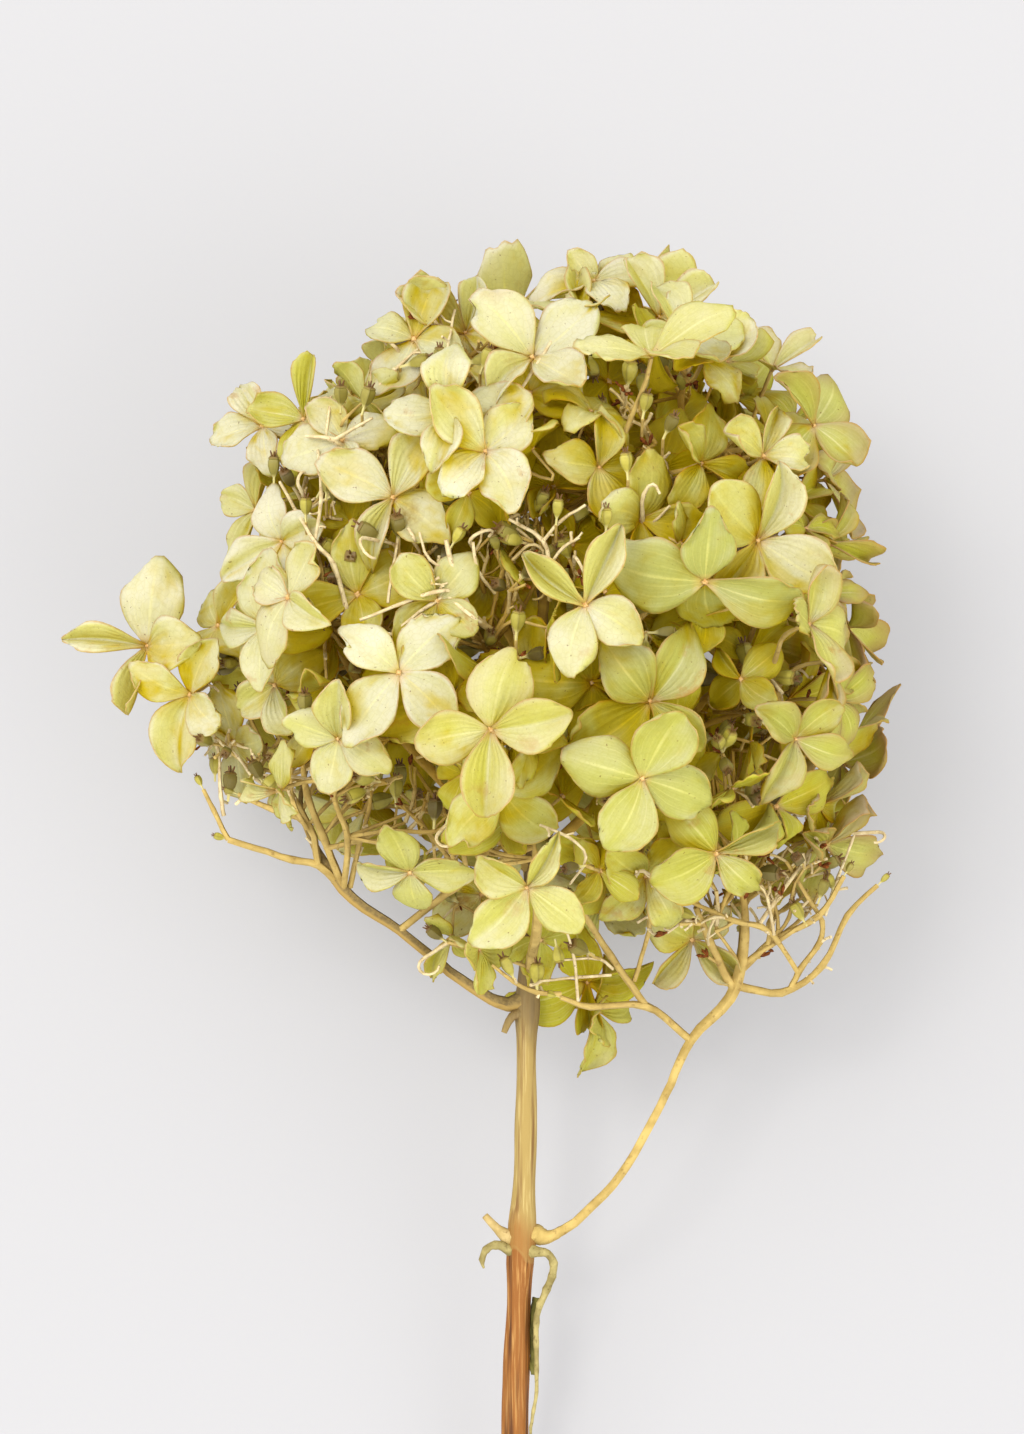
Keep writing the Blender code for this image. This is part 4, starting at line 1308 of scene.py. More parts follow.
frontTwigs = [  # pale broken twigs in gaps at the front: u, v, depth off the head's surface, radius
    [(-5.6, 160.2, -16, 0.9), (-10, 163.3, -9, 0.85), (-13.8, 170.6, -3, 0.75), (-15.8, 178.8, 1, 0.55)],
    [(-12.6, 168.6, -5, 0.5), (-18.2, 168.4, 0, 0.42), (-33, 162.8, 4, 0.4)],
    [(-13, 169.4, -4, 0.5), (-19, 165.8, -2, 0.42), (-25, 161.4, -1, 0.4)],
    [(-14.4, 173, -2, 0.42), (-19, 174.8, 0, 0.36), (-21.1, 180.3, -2, 0.3)],
    [(-6, 168.2, -9, 0.45), (-9.4, 172.6, -4, 0.42), (-10.4, 178.4, -1, 0.38)],
    [(5, 166.8, -14, 0.6), (4.8, 173.5, -6, 0.55), (3.6, 178.6, -3, 0.5), (-3.2, 183, -2, 0.4)],
    [(3.8, 178.8, -3, 0.42), (7.4, 182.8, 0, 0.38), (12.1, 185.8, 3, 0.36)],
    [(4.9, 173.8, -6, 0.4), (7.8, 177.4, -2, 0.36), (10.9, 179.3, 0, 0.34)],
    [(24, 176, -14, 0.5), (23.5, 183.8, -4, 0.5), (23.8, 188, 0, 0.48), (25.6, 189.9, 2, 0.44),
     (27, 188, 2, 0.3)],
    [(17, 128, -10, 0.5), (20.8, 133, 0, 0.46), (24.4, 133.8, 3, 0.44), (26.9, 131, 4, 0.4),
     (26, 126.8, 3, 0.3)],
    [(-34.4, 159.8, -5, 0.6), (-38.2, 173.8, -1, 0.55), (-42, 178.4, 1, 0.5), (-49, 190.4, 3, 0.4)],
    [(-42, 178.4, 0, 0.42), (-40.8, 186.6, 3, 0.4), (-41.4, 196.8, 4, 0.36)],
    [(-25.4, 179.6, -4, 0.42), (-27.4, 166.2, -2, 0.38)],
    [(-35.6, 196.2, -3, 0.6), (-38.2, 198.8, 3, 0.6), (-43.9, 199.6, 8, 0.35)],
    [(-38.2, 198.8, 3, 0.5), (-30.5, 203.2, 5, 0.35)],
    [(-39.8, 199.4, 3, 0.4), (-38.8, 207.6, 6, 0.3)],
    [(-29.8, 209, 2, 0.42), (-25.4, 213.4, 2, 0.36), (-20.2, 218, 2, 0.3)],
    [(-14, 224.8, 4, 0.36), (-15.8, 215.2, 4, 0.32)],
    [(5.2, 218.4, 2, 0.42), (-2.4, 206.4, 4, 0.36)],
    [(3, 121.8, -2, 0.34), (9, 119.2, 2, 0.33), (12.2, 115.4, 3, 0.32), (9, 110, 1, 0.3)],
    [(21.8, 109.4, -4, 0.4), (22.2, 111.8, -2, 0.38), (23.6, 112.6, 0, 0.38), (25, 111.6, 0, 0.38),
     (25.5, 109.2, -3, 0.38)],
]
seenCapsules = [  # u, v, depth off the surface, heading right, heading up, size
    (-50.2, 189.8, 2, 0, 1, 0.95), (-36.8, 204.2, 3, 0, 1, 0.9), (-32.6, 203.8, 4, 0.3, 1, 0.95),
    (-39.8, 186.8, 2, 0.1, 1, 0.8), (-43.8, 182.4, 2, 0, 1, 0.8), (-44, 142.4, 8, 0, 1, 0.95),
    (-25, 213.4, 3, 1, 0.3, 1.0), (-17, 211.8, 3, 0, 1, 0.9), (-12.4, 213.8, 3, 1, 0.3, 0.95),
    (-9, 212, 2, 0.4, 1, 0.9), (-1.8, 158.8, 1, 0.1, 1, 0.95), (16.2, 180, 2, 0, 1, 0.85),
    (6.2, 181.8, 0, 0.1, 1, 0.85), (20.6, 190.8, 3, -0.1, 1, 0.9), (23.5, 203, 4, 0.2, 1, 0.85),
    (27.6, 199, 3, 0.5, 1, 0.85), (-15, 177, -3, 0.6, 1, 0.8),
]
hangingCapsules = {  # the same below the florets, with w instead of the depth
    "left_low": [
        (-59.4, 126.5, 6, 0.1, 1, 1.0), (-62, 130.5, 5, 0, 1, 0.8), (-52, 129.5, 10, -0.5, 1, 0.95),
        (-25.8, 125.4, 24, 0, 1, 0.95), (-18.2, 121, 26, 0.05, 1, 1.0), (-12.3, 121.4, 30, 0, 1, 1.0),
        (-6, 118.6, 31, 0.2, 1, 0.95), (-0.6, 119, 33, 0.1, 1, 0.95), (-1.8, 90.2, 15.4, -0.5, 1, 0.95),
        (2.4, 88.2, 14.5, 0, 1, 1.0), (-31, 129, 22, 0.5, 1, 0.8), (-28.6, 130, 22, -0.4, 1, 0.8),
        (-35, 131, 20, 0, 1, 0.85), (-49, 132, 12, 0.2, 1, 0.8),
    ],
    "right_low": [
        (56.4, 101.6, 12, -0.6, 1, 0.9), (28.7, 112, 22, -0.7, 0.8, 0.9), (6, 99, 18, 0.2, -1, 0.8),
        (42, 109, 20, 0.2, 1, 0.85), (58.6, 106, 12, 0.3, 1, 0.85), (35, 103, 18, -1, 0.4, 0.75),
        (62, 108, 11, -0.4, 1, 0.7),
    ],
}


def softened(path, rng):
    # a smooth way through the joints, swollen at each and never quite straight
    places = [place for place, _ in path]
    made = []
    for k in range(len(path) - 1):
        here, there = places[k], places[k + 1]
        before, after = places[max(k - 1, 0)], places[min(k + 2, len(path) - 1)]
        span = (there - here).length
        leave = (there - before).normalized() * span
        arrive = (after - here).normalized() * span
        steps = max(3, round(span / twig["step"]))
        for step in range(steps):
            t = step / steps
            place = (2 * t**3 - 3 * t**2 + 1) * here + (t**3 - 2 * t**2 + t) * leave
            place = place + (3 * t**2 - 2 * t**3) * there + (t**3 - t**2) * arrive
            radius = path[k][1] + (path[k + 1][1] - path[k][1]) * t
            if step:
                place += Vector([rng.gauss(0, twig["sway"]) for _ in range(3)])
            elif k and radius < twig["thick"]:
                radius *= 1 + twig["joint"]
            made.append((place, radius * twig["slim"]))
    made.append((places[-1], path[-1][1] * twig["slim"]))
    return made


def tubes(name, paths, materials, sides):
    # each path is places and radii, and which material it takes
    curve = bpy.data.curves.new(name, "CURVE")
    curve.dimensions = "3D"
    curve.bevel_depth = 1.0
    curve.bevel_resolution = sides
    curve.use_fill_caps = True
    for finish in materials:
        curve.materials.append(finish)
    for path, finishIndex in paths:
        spline = curve.splines.new("POLY")
        spline.points.add(len(path) - 1)
        spline.material_index = finishIndex
        for point, (place, radius) in zip(spline.points, path):
            point.co = (*onTable(*place), 1)
            point.radius = radius * mm
    made = bpy.data.objects.new(name, curve)
    bpy.context.scene.collection.objects.link(made)
    bpy.ops.object.select_all(action="DESELECT")
    made.select_set(True)
    bpy.context.view_layer.objects.active = made
    bpy.ops.object.convert(target="MESH")
    made = bpy.context.object
    bpy.ops.object.mode_set(mode="EDIT")
    bpy.ops.mesh.select_all(action="SELECT")
    bpy.ops.mesh.remove_doubles(threshold=0.000001)
    bpy.ops.object.mode_set(mode="OBJECT")
    made.data.shade_smooth()
    made.data.set_sharp_from_angle(angle=math.radians(60))
    floatsOf(made.data, "shade", insideHead(vertexPlaces(made.data)))
    return made


def insideHead(places):
    # 0 at the head's surface and outside it, 1 well inside: how much painted shade the twigs take there
    u, v, w = standing(places).T
    heights = np.arange(0, math.ceil(head["middleV"] + head["top"]) + 1)
    share = np.interp(v, heights, np.maximum([headShare(height) for height in heights], 0.001))
    out = np.hypot((u - head["axisU"]) / head["halfWidth"], w / head["halfDepth"]) / share
    closed = (v - inner["lowestV"] - inner["slope"] * u) / twig["closesOver"]
    return np.clip((twig["shadeFrom"] - out) / twig["shadeOver"], 0, 1) * np.clip(closed, 0, 1)


def anyWay(rng):
    return anyLean(rng).normalized()


def hook(start, heading, rng):
    # a dried stalk that curled over
    side = heading.cross(anyWay(rng)).normalized()
    radius = rng.uniform(*twig["hookRadius"])
    whole = rng.uniform(*twig["hookTurn"])
    rise = rng.uniform(*twig["hookRise"])
    path = [(start, 0.42), (start + heading * rise, 0.38)]
    for k in range(1, twig["hookSteps"] + 1):
        angle = whole * k / twig["hookSteps"]
        place = start + heading * (rise + radius * math.sin(angle)) + side * radius * (1 - math.cos(angle))
        path.append((place, 0.36 - 0.012 * k))
    return path


def strayWay(ahead, hold, rng):
    return (ahead * hold + anyWay(rng)).normalized()


def spurs(way, rng, share):
    # short broken side stalks, which make a twig knobbly
    made = []
    for (before, _), (joint, radius) in zip(way, way[1:]):
        while rng.random() < share:
            heading = strayWay((joint - before).normalized(), 0.7, rng)
            foot = before.lerp(joint, rng.uniform(0.2, 1.0))
            length = rng.uniform(*twig["spurLength"])
            thick = min(radius, rng.uniform(*twig["spurRadius"]))
            bent = foot + heading * length * 0.5 + anyWay(rng) * length * 0.12
            tip = foot + heading * length
            made.append(([(foot, thick * 1.3), (bent, thick * 0.85), (tip, thick)], broken))
    return made


def addSprig(start, heading, rng, grown, levels, fruit=0.4):
    # a twig that divides, and what its ends carry: capsules, shut buds or nothing, where they broke off
    paths, capsules, buds = grown
    shorter, thinner = (1, 1) if levels else sprigs["last"]
    reach = rng.uniform(*sprigs["reach"]) * shorter
    radius = rng.uniform(*sprigs["radius"]) * thinner
    tip = start + heading * reach
    middle = start.lerp(tip, 0.5) + anyWay(rng) * reach * 0.08
    finish = broken if rng.random() < sprigs["pale"] else barked
    way = [(start, radius * 1.1), (middle, radius * 0.85), (tip, radius * 1.05)]
    paths.append((way, finish))
    paths += spurs(way, rng, sprigs["spurShare"])
    if levels:
        for _ in range(rng.randint(*sprigs["children"])):
            aside = (heading + anyWay(rng) * sprigs["spread"]).normalized()
            addSprig(tip, aside, rng, grown, levels - 1, fruit)
        return
    chance = rng.random()
    if chance < fruit:
        root = tip - heading * sprigs["capsuleSunk"]
        capsules.append((root, heading, rng.uniform(*twig["capsuleSize"])))
    elif chance < fruit + sprigs["buds"]:
        for _ in range(rng.randint(1, sprigs["budMost"])):
            aside = (heading + anyWay(rng) * 0.8).normalized()
            buds.append((tip, aside, rng.uniform(*sprigs["budSize"])))
    elif chance < fruit + sprigs["buds"] + sprigs["hooks"]:
        paths.append((hook(tip, heading, rng), broken))


def carried(root, bend, radii, rng, grown):
    # a stalk to a sprig's root from the nearest joint, and the lists of the spray it grows on
    name = nearestSpray(root)
    joint, radius = nearestJoint(name, root)
    places = (joint, joint.lerp(root, 0.5) + bend, root)
    path = list(zip(places, (min(radius, sprigs["rootRadius"]), *radii)))
    grown[name][0].append((softened(path, rng), barked))
    return grown[name]


def gapSprigs():
    # on a spiral round the head, wherever no floret has its middle, and in the thickets
    rng = random.Random(sprigs["seed"])
    grown = {name: ([], [], []) for name in sprays}
    middles = [floret["centre"] for spray in sprays.values() for floret in spray["florets"]]
    for v, share, angle in evenSpots(sprigs["count"], sprigs["turn"]):
        place = onHead(v, share * rng.uniform(*sprigs["shares"]), angle)
        wander = anyWay(rng) * 0.4
        if min((place - middle).length for middle in middles) < sprigs["room"]:
            continue
        if place.y < undersideAt(place.x) or aboveTable(place) < sprigs["clear"]:
            continue
        root = Vector((head["axisU"], head["middleV"], 0)).lerp(place, sprigs["rootShare"])
        own = carried(root, wander * 3, sprigs["gapRadii"], rng, grown)
        addSprig(root, (place - root + wander * 6).normalized(), rng, own, 1)
    for u, v, w, wide, count in sprigs["thickets"]:
        for _ in range(count):
            aside = anyWay(rng) * wide * rng.uniform(0.2, 1.0)
            root = seen(u + aside.x, v + aside.y, w + aside.z * 0.5)
            own = carried(root, anyWay(rng) * 1.5, sprigs["thicketRadii"], rng, grown)
            heading = (Vector(sprigs["thicketWay"]) + anyWay(rng) * sprigs["thicketSpread"]).normalized()
            addSprig(root, heading, rng, own, 1, sprigs["thicketFruit"])
    return grown


def dressJoint(joint, ahead, grown, rng):
    # what grows at a joint: a broken stalk, a curled one, capsules and buds
    paths, capsules, buds = grown
    if rng.random() < twig["stubShare"]:
        heading = strayWay(ahead, 0.6, rng)
        length = rng.uniform(*twig["stubLength"])
        thick = rng.uniform(*twig["stubRadius"])
        middle = joint + heading * length / 2 + anyWay(rng) * 0.4
        tip = joint + heading * length
        paths.append(([(joint, thick * 1.3), (middle, thick), (tip, thick * 0.95)], broken))
    if rng.random() < twig["hookShare"]:
        paths.append((hook(joint, strayWay(ahead, 1, rng), rng), broken))
    if rng.random() < twig["capsuleShare"]:
        for _ in range(rng.randint(1, twig["capsuleMost"])):
            capsules.append((joint, strayWay(ahead, 0.8, rng), rng.uniform(*twig["capsuleSize"])))
    if rng.random() < twig["budShare"]:
        for _ in range(rng.randint(1, twig["budMost"])):
            buds.append((joint, strayWay(ahead, 0.5, rng), rng.uniform(*twig["budSize"])))


def dressSpray(name, spray, rng, blanks, grown):
    # a spray's twigs, and all that grows on them, those seen in the photograph's places last
    paths, capsules, buds = grown
    bare = [place for place, _ in sprayBranch(name)]
    start = bare[0]
    bare += [Vector(row[:3]) for rows in bareTwigs.get(name, []) for row in rows]
    for path in spray["twigs"]:
        rooted = path
        if (path[0][0] - start).length < twig["same"] and name != "crown":
            rooted = [(stemAt(sprayPlaces[name][0])[0], path[0][1])] + path
            if name in branchFeet:
                rooted = asPath(branchFeet[name], twig["slim"]) + path[2:]
        finish = weathered if rooted is not path and name == "left_low" else barked
        paths.append((softened(rooted, rng), finish))
        paths += spurs(path[-4:-2], rng, twig["spurShare"])
        for (before, _), (joint, _) in zip(path, path[1:-2] if len(path) > 3 else path[1:-1]):
            if not any((joint - place).length < twig["same"] for place in bare):
                dressJoint(joint, (joint - before).normalized(), grown, rng)
    for rows in seenTwigs.get(name, []):
        way = [(seen(*row[:3]), row[3] / twig["slim"]) for row in rows]
        paths.append((softened(way, rng), barked if way[0][1] > twig["barkedFrom"] else broken))
        ahead = (way[-1][0] - way[-2][0]).normalized()
        paths += spurs(way, rng, twig["spurShare"])
        for joint, _ in way[1:]:
            if rng.random() < twig["sideSprigs"]:
                addSprig(joint, strayWay(ahead, 0.8, rng), rng, grown, 0, sprigs["thicketFruit"] / 2)
    for u, v, w, right, up, size in hangingCapsules.get(name, []):
        capsules.append((seen(u, v, w), Vector((right, up, 0.15)).normalized(), size))
    if name == "front_middle":
        for rows in frontTwigs:
            way = [(seen(u, v, frontDepth(u, v) + out), radius) for u, v, out, radius in rows]
            paths.append((softened(way, rng), broken))
            paths += spurs(way, rng, twig["spurShare"])
        for u, v, out, right, up, size in seenCapsules:
            root = seen(u, v, frontDepth(u, v) + out)
            capsules.append((root, Vector((right, up, 0.25)).normalized(), size))
            paths.append(([(root - Vector((0, 3, 5)), 0.3), (root, 0.3)], barked))
    for root, heading in spray["capsules"]:
        outermost = name in branchRows and root.y < twig["tipV"]
        capsules.append((root, heading, twig["tipSize"] if outermost else 1.0))
    parts = []
    for kind, several in (("capsule", capsules), ("bud", buds)):
        for place, heading, size in several:
            made = stamp(blanks[kind], place, heading, rng.uniform(0, math.tau), size)
            if kind == "capsule":
                age = max(0.0, rng.gauss(*twig["capsuleAge"]))
                floatsOf(made.data, "age", np.full(len(made.data.vertices), age))
            parts.append(made)
    return paths, parts


# Materials

sepalLook = {
    "olive": "#CFCB42",
    "cream": "#E4E2C9",
    "grey": "#BFC189",
    "shadeOlive": 0.55,  # painted shade: how much greener the covered ones are painted
    "vein": "#F0EEBC",
    "net": "#B4AA48",
    "glow": "#F4E72E",
    # painted shade: covered sepals are multiplied towards this yellow between these shade values
    "deep": "#F6E01A",
    "deepFrom": 0.1,
    "deepTo": 0.68,
    # painted shade: sides turned from the key light are multiplied by this tint
    "turnedFromKey": "#FEFFBF",
    "keyLightSide": (-0.45, 0.5, 0.74),  # the key light's side; sides turned from it get painted shade
    "keyFacingFrom": 0.3,
    "keyFacingTo": 0.85,
    "scar": "#B4963A",
    "base": "#EACF9E",
    "rim": "#C99A58",
    "blush": "#B48482",
    "blotch": "#C79F55",
    "speck": "#86622F",
    "patchMm": 6.0,
    "mottleMm": 0.9,
    "netMm": 1.3,
    "speckMm": 0.7,
    "blotchMm": 9.0,
    "veins": 3.5,  # from the midrib to each edge
    "fineVeins": 10.0,
    "pleats": 4.5,
    "through": 0.44,  # share of the light that goes through
}


def facingShare(add, way):
    # 1 where a surface looks this way, in the flower's own directions
    normal = add("NewGeometry", None, "Normal")
    return add("VectorMath", {"operation": "DOT_PRODUCT", 0: normal, 1: lyingTurn @ Vector(way)}, "Value")


def veinLines(add, across, count, width):
    # thin lines that run with the sepal, this many from its middle to its edge
    lined = add("Math", {"operation": "MULTIPLY_ADD", 0: across, 1: count, 2: 0.22})
    lined = add("Math", {"operation": "FRACT", 0: lined})
    lined = add("Math", {"operation": "SUBTRACT", 0: lined, 1: 0.5})
    lined = add("Math", {"operation": "ABSOLUTE", 0: lined})
    limits = {"From Min": 0.02, "From Max": width, "To Min": 1.0, "To Max": 0.0}
    return add("MapRange", {"interpolation_type": "SMOOTHSTEP", **limits, "Value": lined})


def sepalTissue():
    # air-dried sepal: thin matt tissue, light comes through, pale veins, edges turned tan; shade painted in
    # where other sepals cover it and on sides turned from the key light
    made, add = newMaterial("air_dried_sepal_tissue")
    look = sepalLook
    mixed = {"data_type": "RGBA"}
    multiplied = {**mixed, "blend_type": "MULTIPLY"}
    smooth = {"interpolation_type": "SMOOTHSTEP"}
    ending = {"To Min": 1.0, "To Max": 0.0}
    place = add("TexCoord", None, "Object")
    names = ("across", "along", "cream", "grey", "blush", "age", "shade", "scar")
    held = [add("Attribute", {"attribute_name": name}, "Fac") for name in names]
    across, along, cream, grey, blush, age, shade, scar = held
    patch = add("TexNoise", {"Scale": 1 / (look["patchMm"] * mm), "Detail": 3.0, "Vector": place})
    mottle = add("TexNoise", {"Scale": 1 / (look["mottleMm"] * mm), "Detail": 4.0, "Vector": place})
    patchy = add("Math", {"operation": "MULTIPLY_ADD", 0: patch, 1: 0.7, 2: -0.35})
    mottled = add("Math", {"operation": "MULTIPLY_ADD", 0: mottle, 1: 0.22, 2: -0.11})
    creamy = add("Math", {"operation": "ADD", 0: cream, 1: patchy})
    # painted shade: covered places take less cream
    creamy = add("Math", {"operation": "MULTIPLY_ADD", 0: shade, 1: -look["shadeOlive"], 2: creamy})
    creamy = add("Math", {"operation": "ADD", "use_clamp": True, 0: creamy, 1: mottled})
    blade = add("Mix", {**mixed, 0: creamy, 6: linear(look["olive"]), 7: linear(look["cream"])}, 2)

    bent = add("Math", {"operation": "MULTIPLY_ADD", 0: patch, 1: 0.2, 2: across})
    bent = add("Math", {"operation": "MULTIPLY_ADD", 0: mottle, 1: 0.03, 2: bent})
    pleat = add("Math", {"operation": "MULTIPLY", 0: bent, 1: look["pleats"] * math.tau})
    pleat = add("Math", {"operation": "COSINE", 0: pleat})
    vein = veinLines(add, bent, look["veins"], 0.11)
    fine = veinLines(add, bent, look["fineVeins"], 0.3)
    side = add("Math", {"operation": "ABSOLUTE", 0: across})
    flat = {"From Min": 0.6, "From Max": 0.95, "To Min": 1.0, "To Max": 0.15}
    inward = add("MapRange", {**flat, "Value": side})
    vein = add("Math", {"operation": "MULTIPLY", 0: vein, 1: inward})
    fading = {"From Min": 0.25, "From Max": 0.75, "To Min": 1.0, "To Max": 0.2}
    fade = add("MapRange", {**smooth, **fading, "Value": along})
    vein = add("Math", {"operation": "MULTIPLY", 0: vein, 1: fade})
    vein = add("Math", {"operation": "MULTIPLY", 0: vein, 1: 0.55})
    midrib = add("MapRange", {**smooth, "From Min": 0.015, "From Max": 0.075, **ending, "Value": side})
    fadeTip = add("MapRange", {"From Min": 0.5, "From Max": 0.92, **ending, "Value": along})
    midrib = add("Math", {"operation": "MULTIPLY", 0: midrib, 1: fadeTip})
    ribs = add("Math", {"operation": "MAXIMUM", 0: vein, 1: midrib})
    lined = add("Math", {"operation": "MULTIPLY_ADD", 0: fine, 1: 0.16, 2: ribs})
    lined = add("Math", {"operation": "MULTIPLY", 0: lined, 1: 0.55})

    cells = {"feature": "DISTANCE_TO_EDGE", "Scale": 1 / (look["netMm"] * mm), "Vector": place}
    net = add("TexVoronoi", cells)
    net = add("MapRange", {"From Min": 0.02, "From Max": 0.1, "To Min": 0.12, "To Max": 0.0, "Value": net})
    scar = add("Math", {"operation": "MULTIPLY", 0: scar, 1: mottle})
    scar = add("MapRange", {"From Min": 0.18, "From Max": 0.55, "To Max": 0.8, "Value": scar})
    foot = add("MapRange", {"From Min": 0.02, "From Max": 0.14, "To Min": 0.9, "To Max": 0.0, "Value": along})
    sideZone = add("MapRange", {"From Min": 0.35, "From Max": 1.0, "Value": side})
    tipZone = add("MapRange", {"From Min": 0.6, "From Max": 1.0, "Value": along})
    zone = add("Math", {"operation": "MAXIMUM", 0: sideZone, 1: tipZone})
    zone = add("Math", {"operation": "MULTIPLY", "use_clamp": True, 0: zone, 1: blush})
    wide = {"Scale": 1 / (look["blotchMm"] * mm), "Detail": 5.0, "Roughness": 0.65}
    blotch = add("TexNoise", {**wide, "Vector": place})
    blotch = add("MapRange", {"From Min": 0.6, "From Max": 0.68, "Value": blotch})
    blotch = add("Math", {"operation": "MULTIPLY", "use_clamp": True, 0: blotch, 1: age})
    speck = add("TexNoise", {"Scale": 1 / (look["speckMm"] * mm), "Detail": 2.0, "Vector": place})
    speck = add("MapRange", {"From Min": 0.7, "From Max": 0.76, "To Max": 0.7, "Value": speck})
    sideRim = add("MapRange", {"From Min": 0.93, "From Max": 0.985, "Value": side})
    tipRim = add("MapRange", {"From Min": 0.97, "From Max": 0.995, "Value": along})
    rim = add("Math", {"operation": "MAXIMUM", 0: sideRim, 1: tipRim})
    rim = add("Math", {"operation": "MULTIPLY", 0: rim, 1: mottle})
    layers = [(grey, "grey"), (lined, "vein"), (net, "net"), (scar, "scar"), (foot, "base")]
    layers += [(zone, "blush"), (blotch, "blotch"), (speck, "speck"), (rim, "rim")]
    for share, tone in layers:
        blade = add("Mix", {**mixed, 0: share, 6: blade, 7: linear(look[tone])}, 2)

    # painted shade: a yellow tint where other sepals cover the way out, and a paler one on sides turned from
    # the key light
    limits = {"From Min": look["deepFrom"], "From Max": look["deepTo"]}
    covered = add("MapRange", {**smooth, **limits, "Value": shade})
    facing = facingShare(add, look["keyLightSide"])
    limits = {"From Min": look["keyFacingFrom"], "From Max": look["keyFacingTo"]}
    turnedFromKey = add("MapRange", {**limits, **ending, "Value": facing})
    for share, tone in ((covered, "deep"), (turnedFromKey, "turnedFromKey")):
        blade = add("Mix", {**multiplied, 0: share, 6: blade, 7: linear(look[tone])}, 2)
    ribbed = add("MapRange", {"From Max": 0.8, "To Min": 0.5, "To Max": 2.2, "Value": age})
    pleat = add("Math", {"operation": "MULTIPLY", 0: pleat, 1: fade})
    pleat = add("Math", {"operation": "MULTIPLY", 0: pleat, 1: ribbed})
    relief = add("Math", {"operation": "MULTIPLY_ADD", 0: ribs, 1: 0.3, 2: mottle})
    relief = add("Math", {"operation": "MULTIPLY_ADD", 0: pleat, 1: 0.22, 2: relief})
    bump = add("Bump", {"Strength": 0.55, "Distance": 0.00026, "Height": relief})
    matt = {"Roughness": 0.6, "Specular IOR Level": 0.2}
    front = add("BsdfPrincipled", {**matt, "Base Color": blade, "Normal": bump})
    glow = add("Mix", {**multiplied, 0: 1.0, 6: blade, 7: linear(look["glow"])}, 2)
    through = add("BsdfTranslucent", {"Color": glow, "Normal": bump})
    add("OutputMaterial", {"Surface": add("MixShader", {0: look["through"], 1: front, 2: through})})
    return made


shadeTintInside = "#F2E184"  # painted shade: the tint that skins deep inside the head are multiplied by
huskLook = {
    "dark": "#948A2C",
    "pale": "#C6BA4E",
    "aged": "#5F5224",
    "valley": "#665C1E",
    "stalk": "#C9BE7A",
    "rim": "#6B4A22",
}


def coated(made, add, colour, relief, roughness, specular, strength, depthMm):
    # the surface of a skin or bark, with relief of this depth
    bump = add("Bump", {"Strength": strength, "Distance": depthMm * mm, "Height": relief})
    surface = {"Roughness": roughness, "Specular IOR Level": specular, "Base Color": colour, "Normal": bump}
    add("OutputMaterial", {"Surface": add("BsdfPrincipled", surface)})
    return made


def spotted(name, dark, pale, deep, spotMm, roughness, bumpMm, specular=0.3, under=None):
    # a dry plant skin: two tones in soft spots, darker flecks, slightly rough, and painted shade that turns
    # it yellower inside the head
    made, add = newMaterial(name)
    place = add("TexCoord", None, "Object")
    spots = add("TexNoise", {"Scale": 1 / (spotMm * mm), "Detail": 4.0, "Vector": place})
    share = add("MapRange", {"From Min": 0.35, "From Max": 0.65, "Value": spots})
    colour = add("Mix", {"data_type": "RGBA", 0: share, 6: linear(dark), 7: linear(pale)}, 2)
    fleck = add("TexNoise", {"Scale": 2.7 / (spotMm * mm), "Detail": 3.0, "Vector": place})
    fleck = add("MapRange", {"From Min": 0.6, "From Max": 0.72, "To Max": 0.8, "Value": fleck})
    layers = [(fleck, deep)]
    if under:
        facing = facingShare(add, (-0.55, -0.8, 0.2))
        facing = add("MapRange", {"From Min": 0.2, "From Max": 0.6, "To Max": 0.9, "Value": facing})
        layers.append((facing, under))
    for share, tone in layers:
        colour = add("Mix", {"data_type": "RGBA", 0: share, 6: colour, 7: linear(tone)}, 2)
    # painted shade: multiplied towards the tint by how deep in the head the skin lies
    shade = add("Attribute", {"attribute_name": "shade"}, "Fac")
    tint = {"data_type": "RGBA", "blend_type": "MULTIPLY", 0: shade, 6: colour, 7: linear(shadeTintInside)}
    return coated(made, add, add("Mix", tint, 2), spots, roughness, specular, 0.5, bumpMm)


def capsuleHusk():
    # seed capsule, dried green: waxy husk, ribbed, its rim and styles scorched brown
    made, add = newMaterial("dried_capsule_husk")
    look = huskLook
    place = add("TexCoord", None, "Object")
    names = ("along", "age", "valley")
    along, age, valley = (add("Attribute", {"attribute_name": name}, "Fac") for name in names)
    spots = add("TexNoise", {"Scale": 900.0, "Detail": 3.0, "Vector": place})
    colour = add("Mix", {"data_type": "RGBA", 0: spots, 6: linear(look["dark"]), 7: linear(look["pale"])}, 2)
    aged = {"data_type": "RGBA", "clamp_factor": True, 0: age, 6: colour, 7: linear(look["aged"])}
    colour = add("Mix", aged, 2)
    valley = add("MapRange", {"From Min": 0.55, "From Max": 1.0, "To Max": 0.55, "Value": valley})
    stalk = add("MapRange", {"From Min": 0.25, "From Max": 0.4, "To Min": 1.0, "To Max": 0.0, "Value": along})
    rim = add("MapRange", {"From Min": 0.9, "From Max": 1.02, "Value": along})
    for share, tone in ((valley, "valley"), (stalk, "stalk"), (rim, "rim")):
        colour = add("Mix", {"data_type": "RGBA", 0: share, 6: colour, 7: linear(look[tone])}, 2)
    return coated(made, add, colour, spots, 0.5, 0.4, 0.4, 0.2)


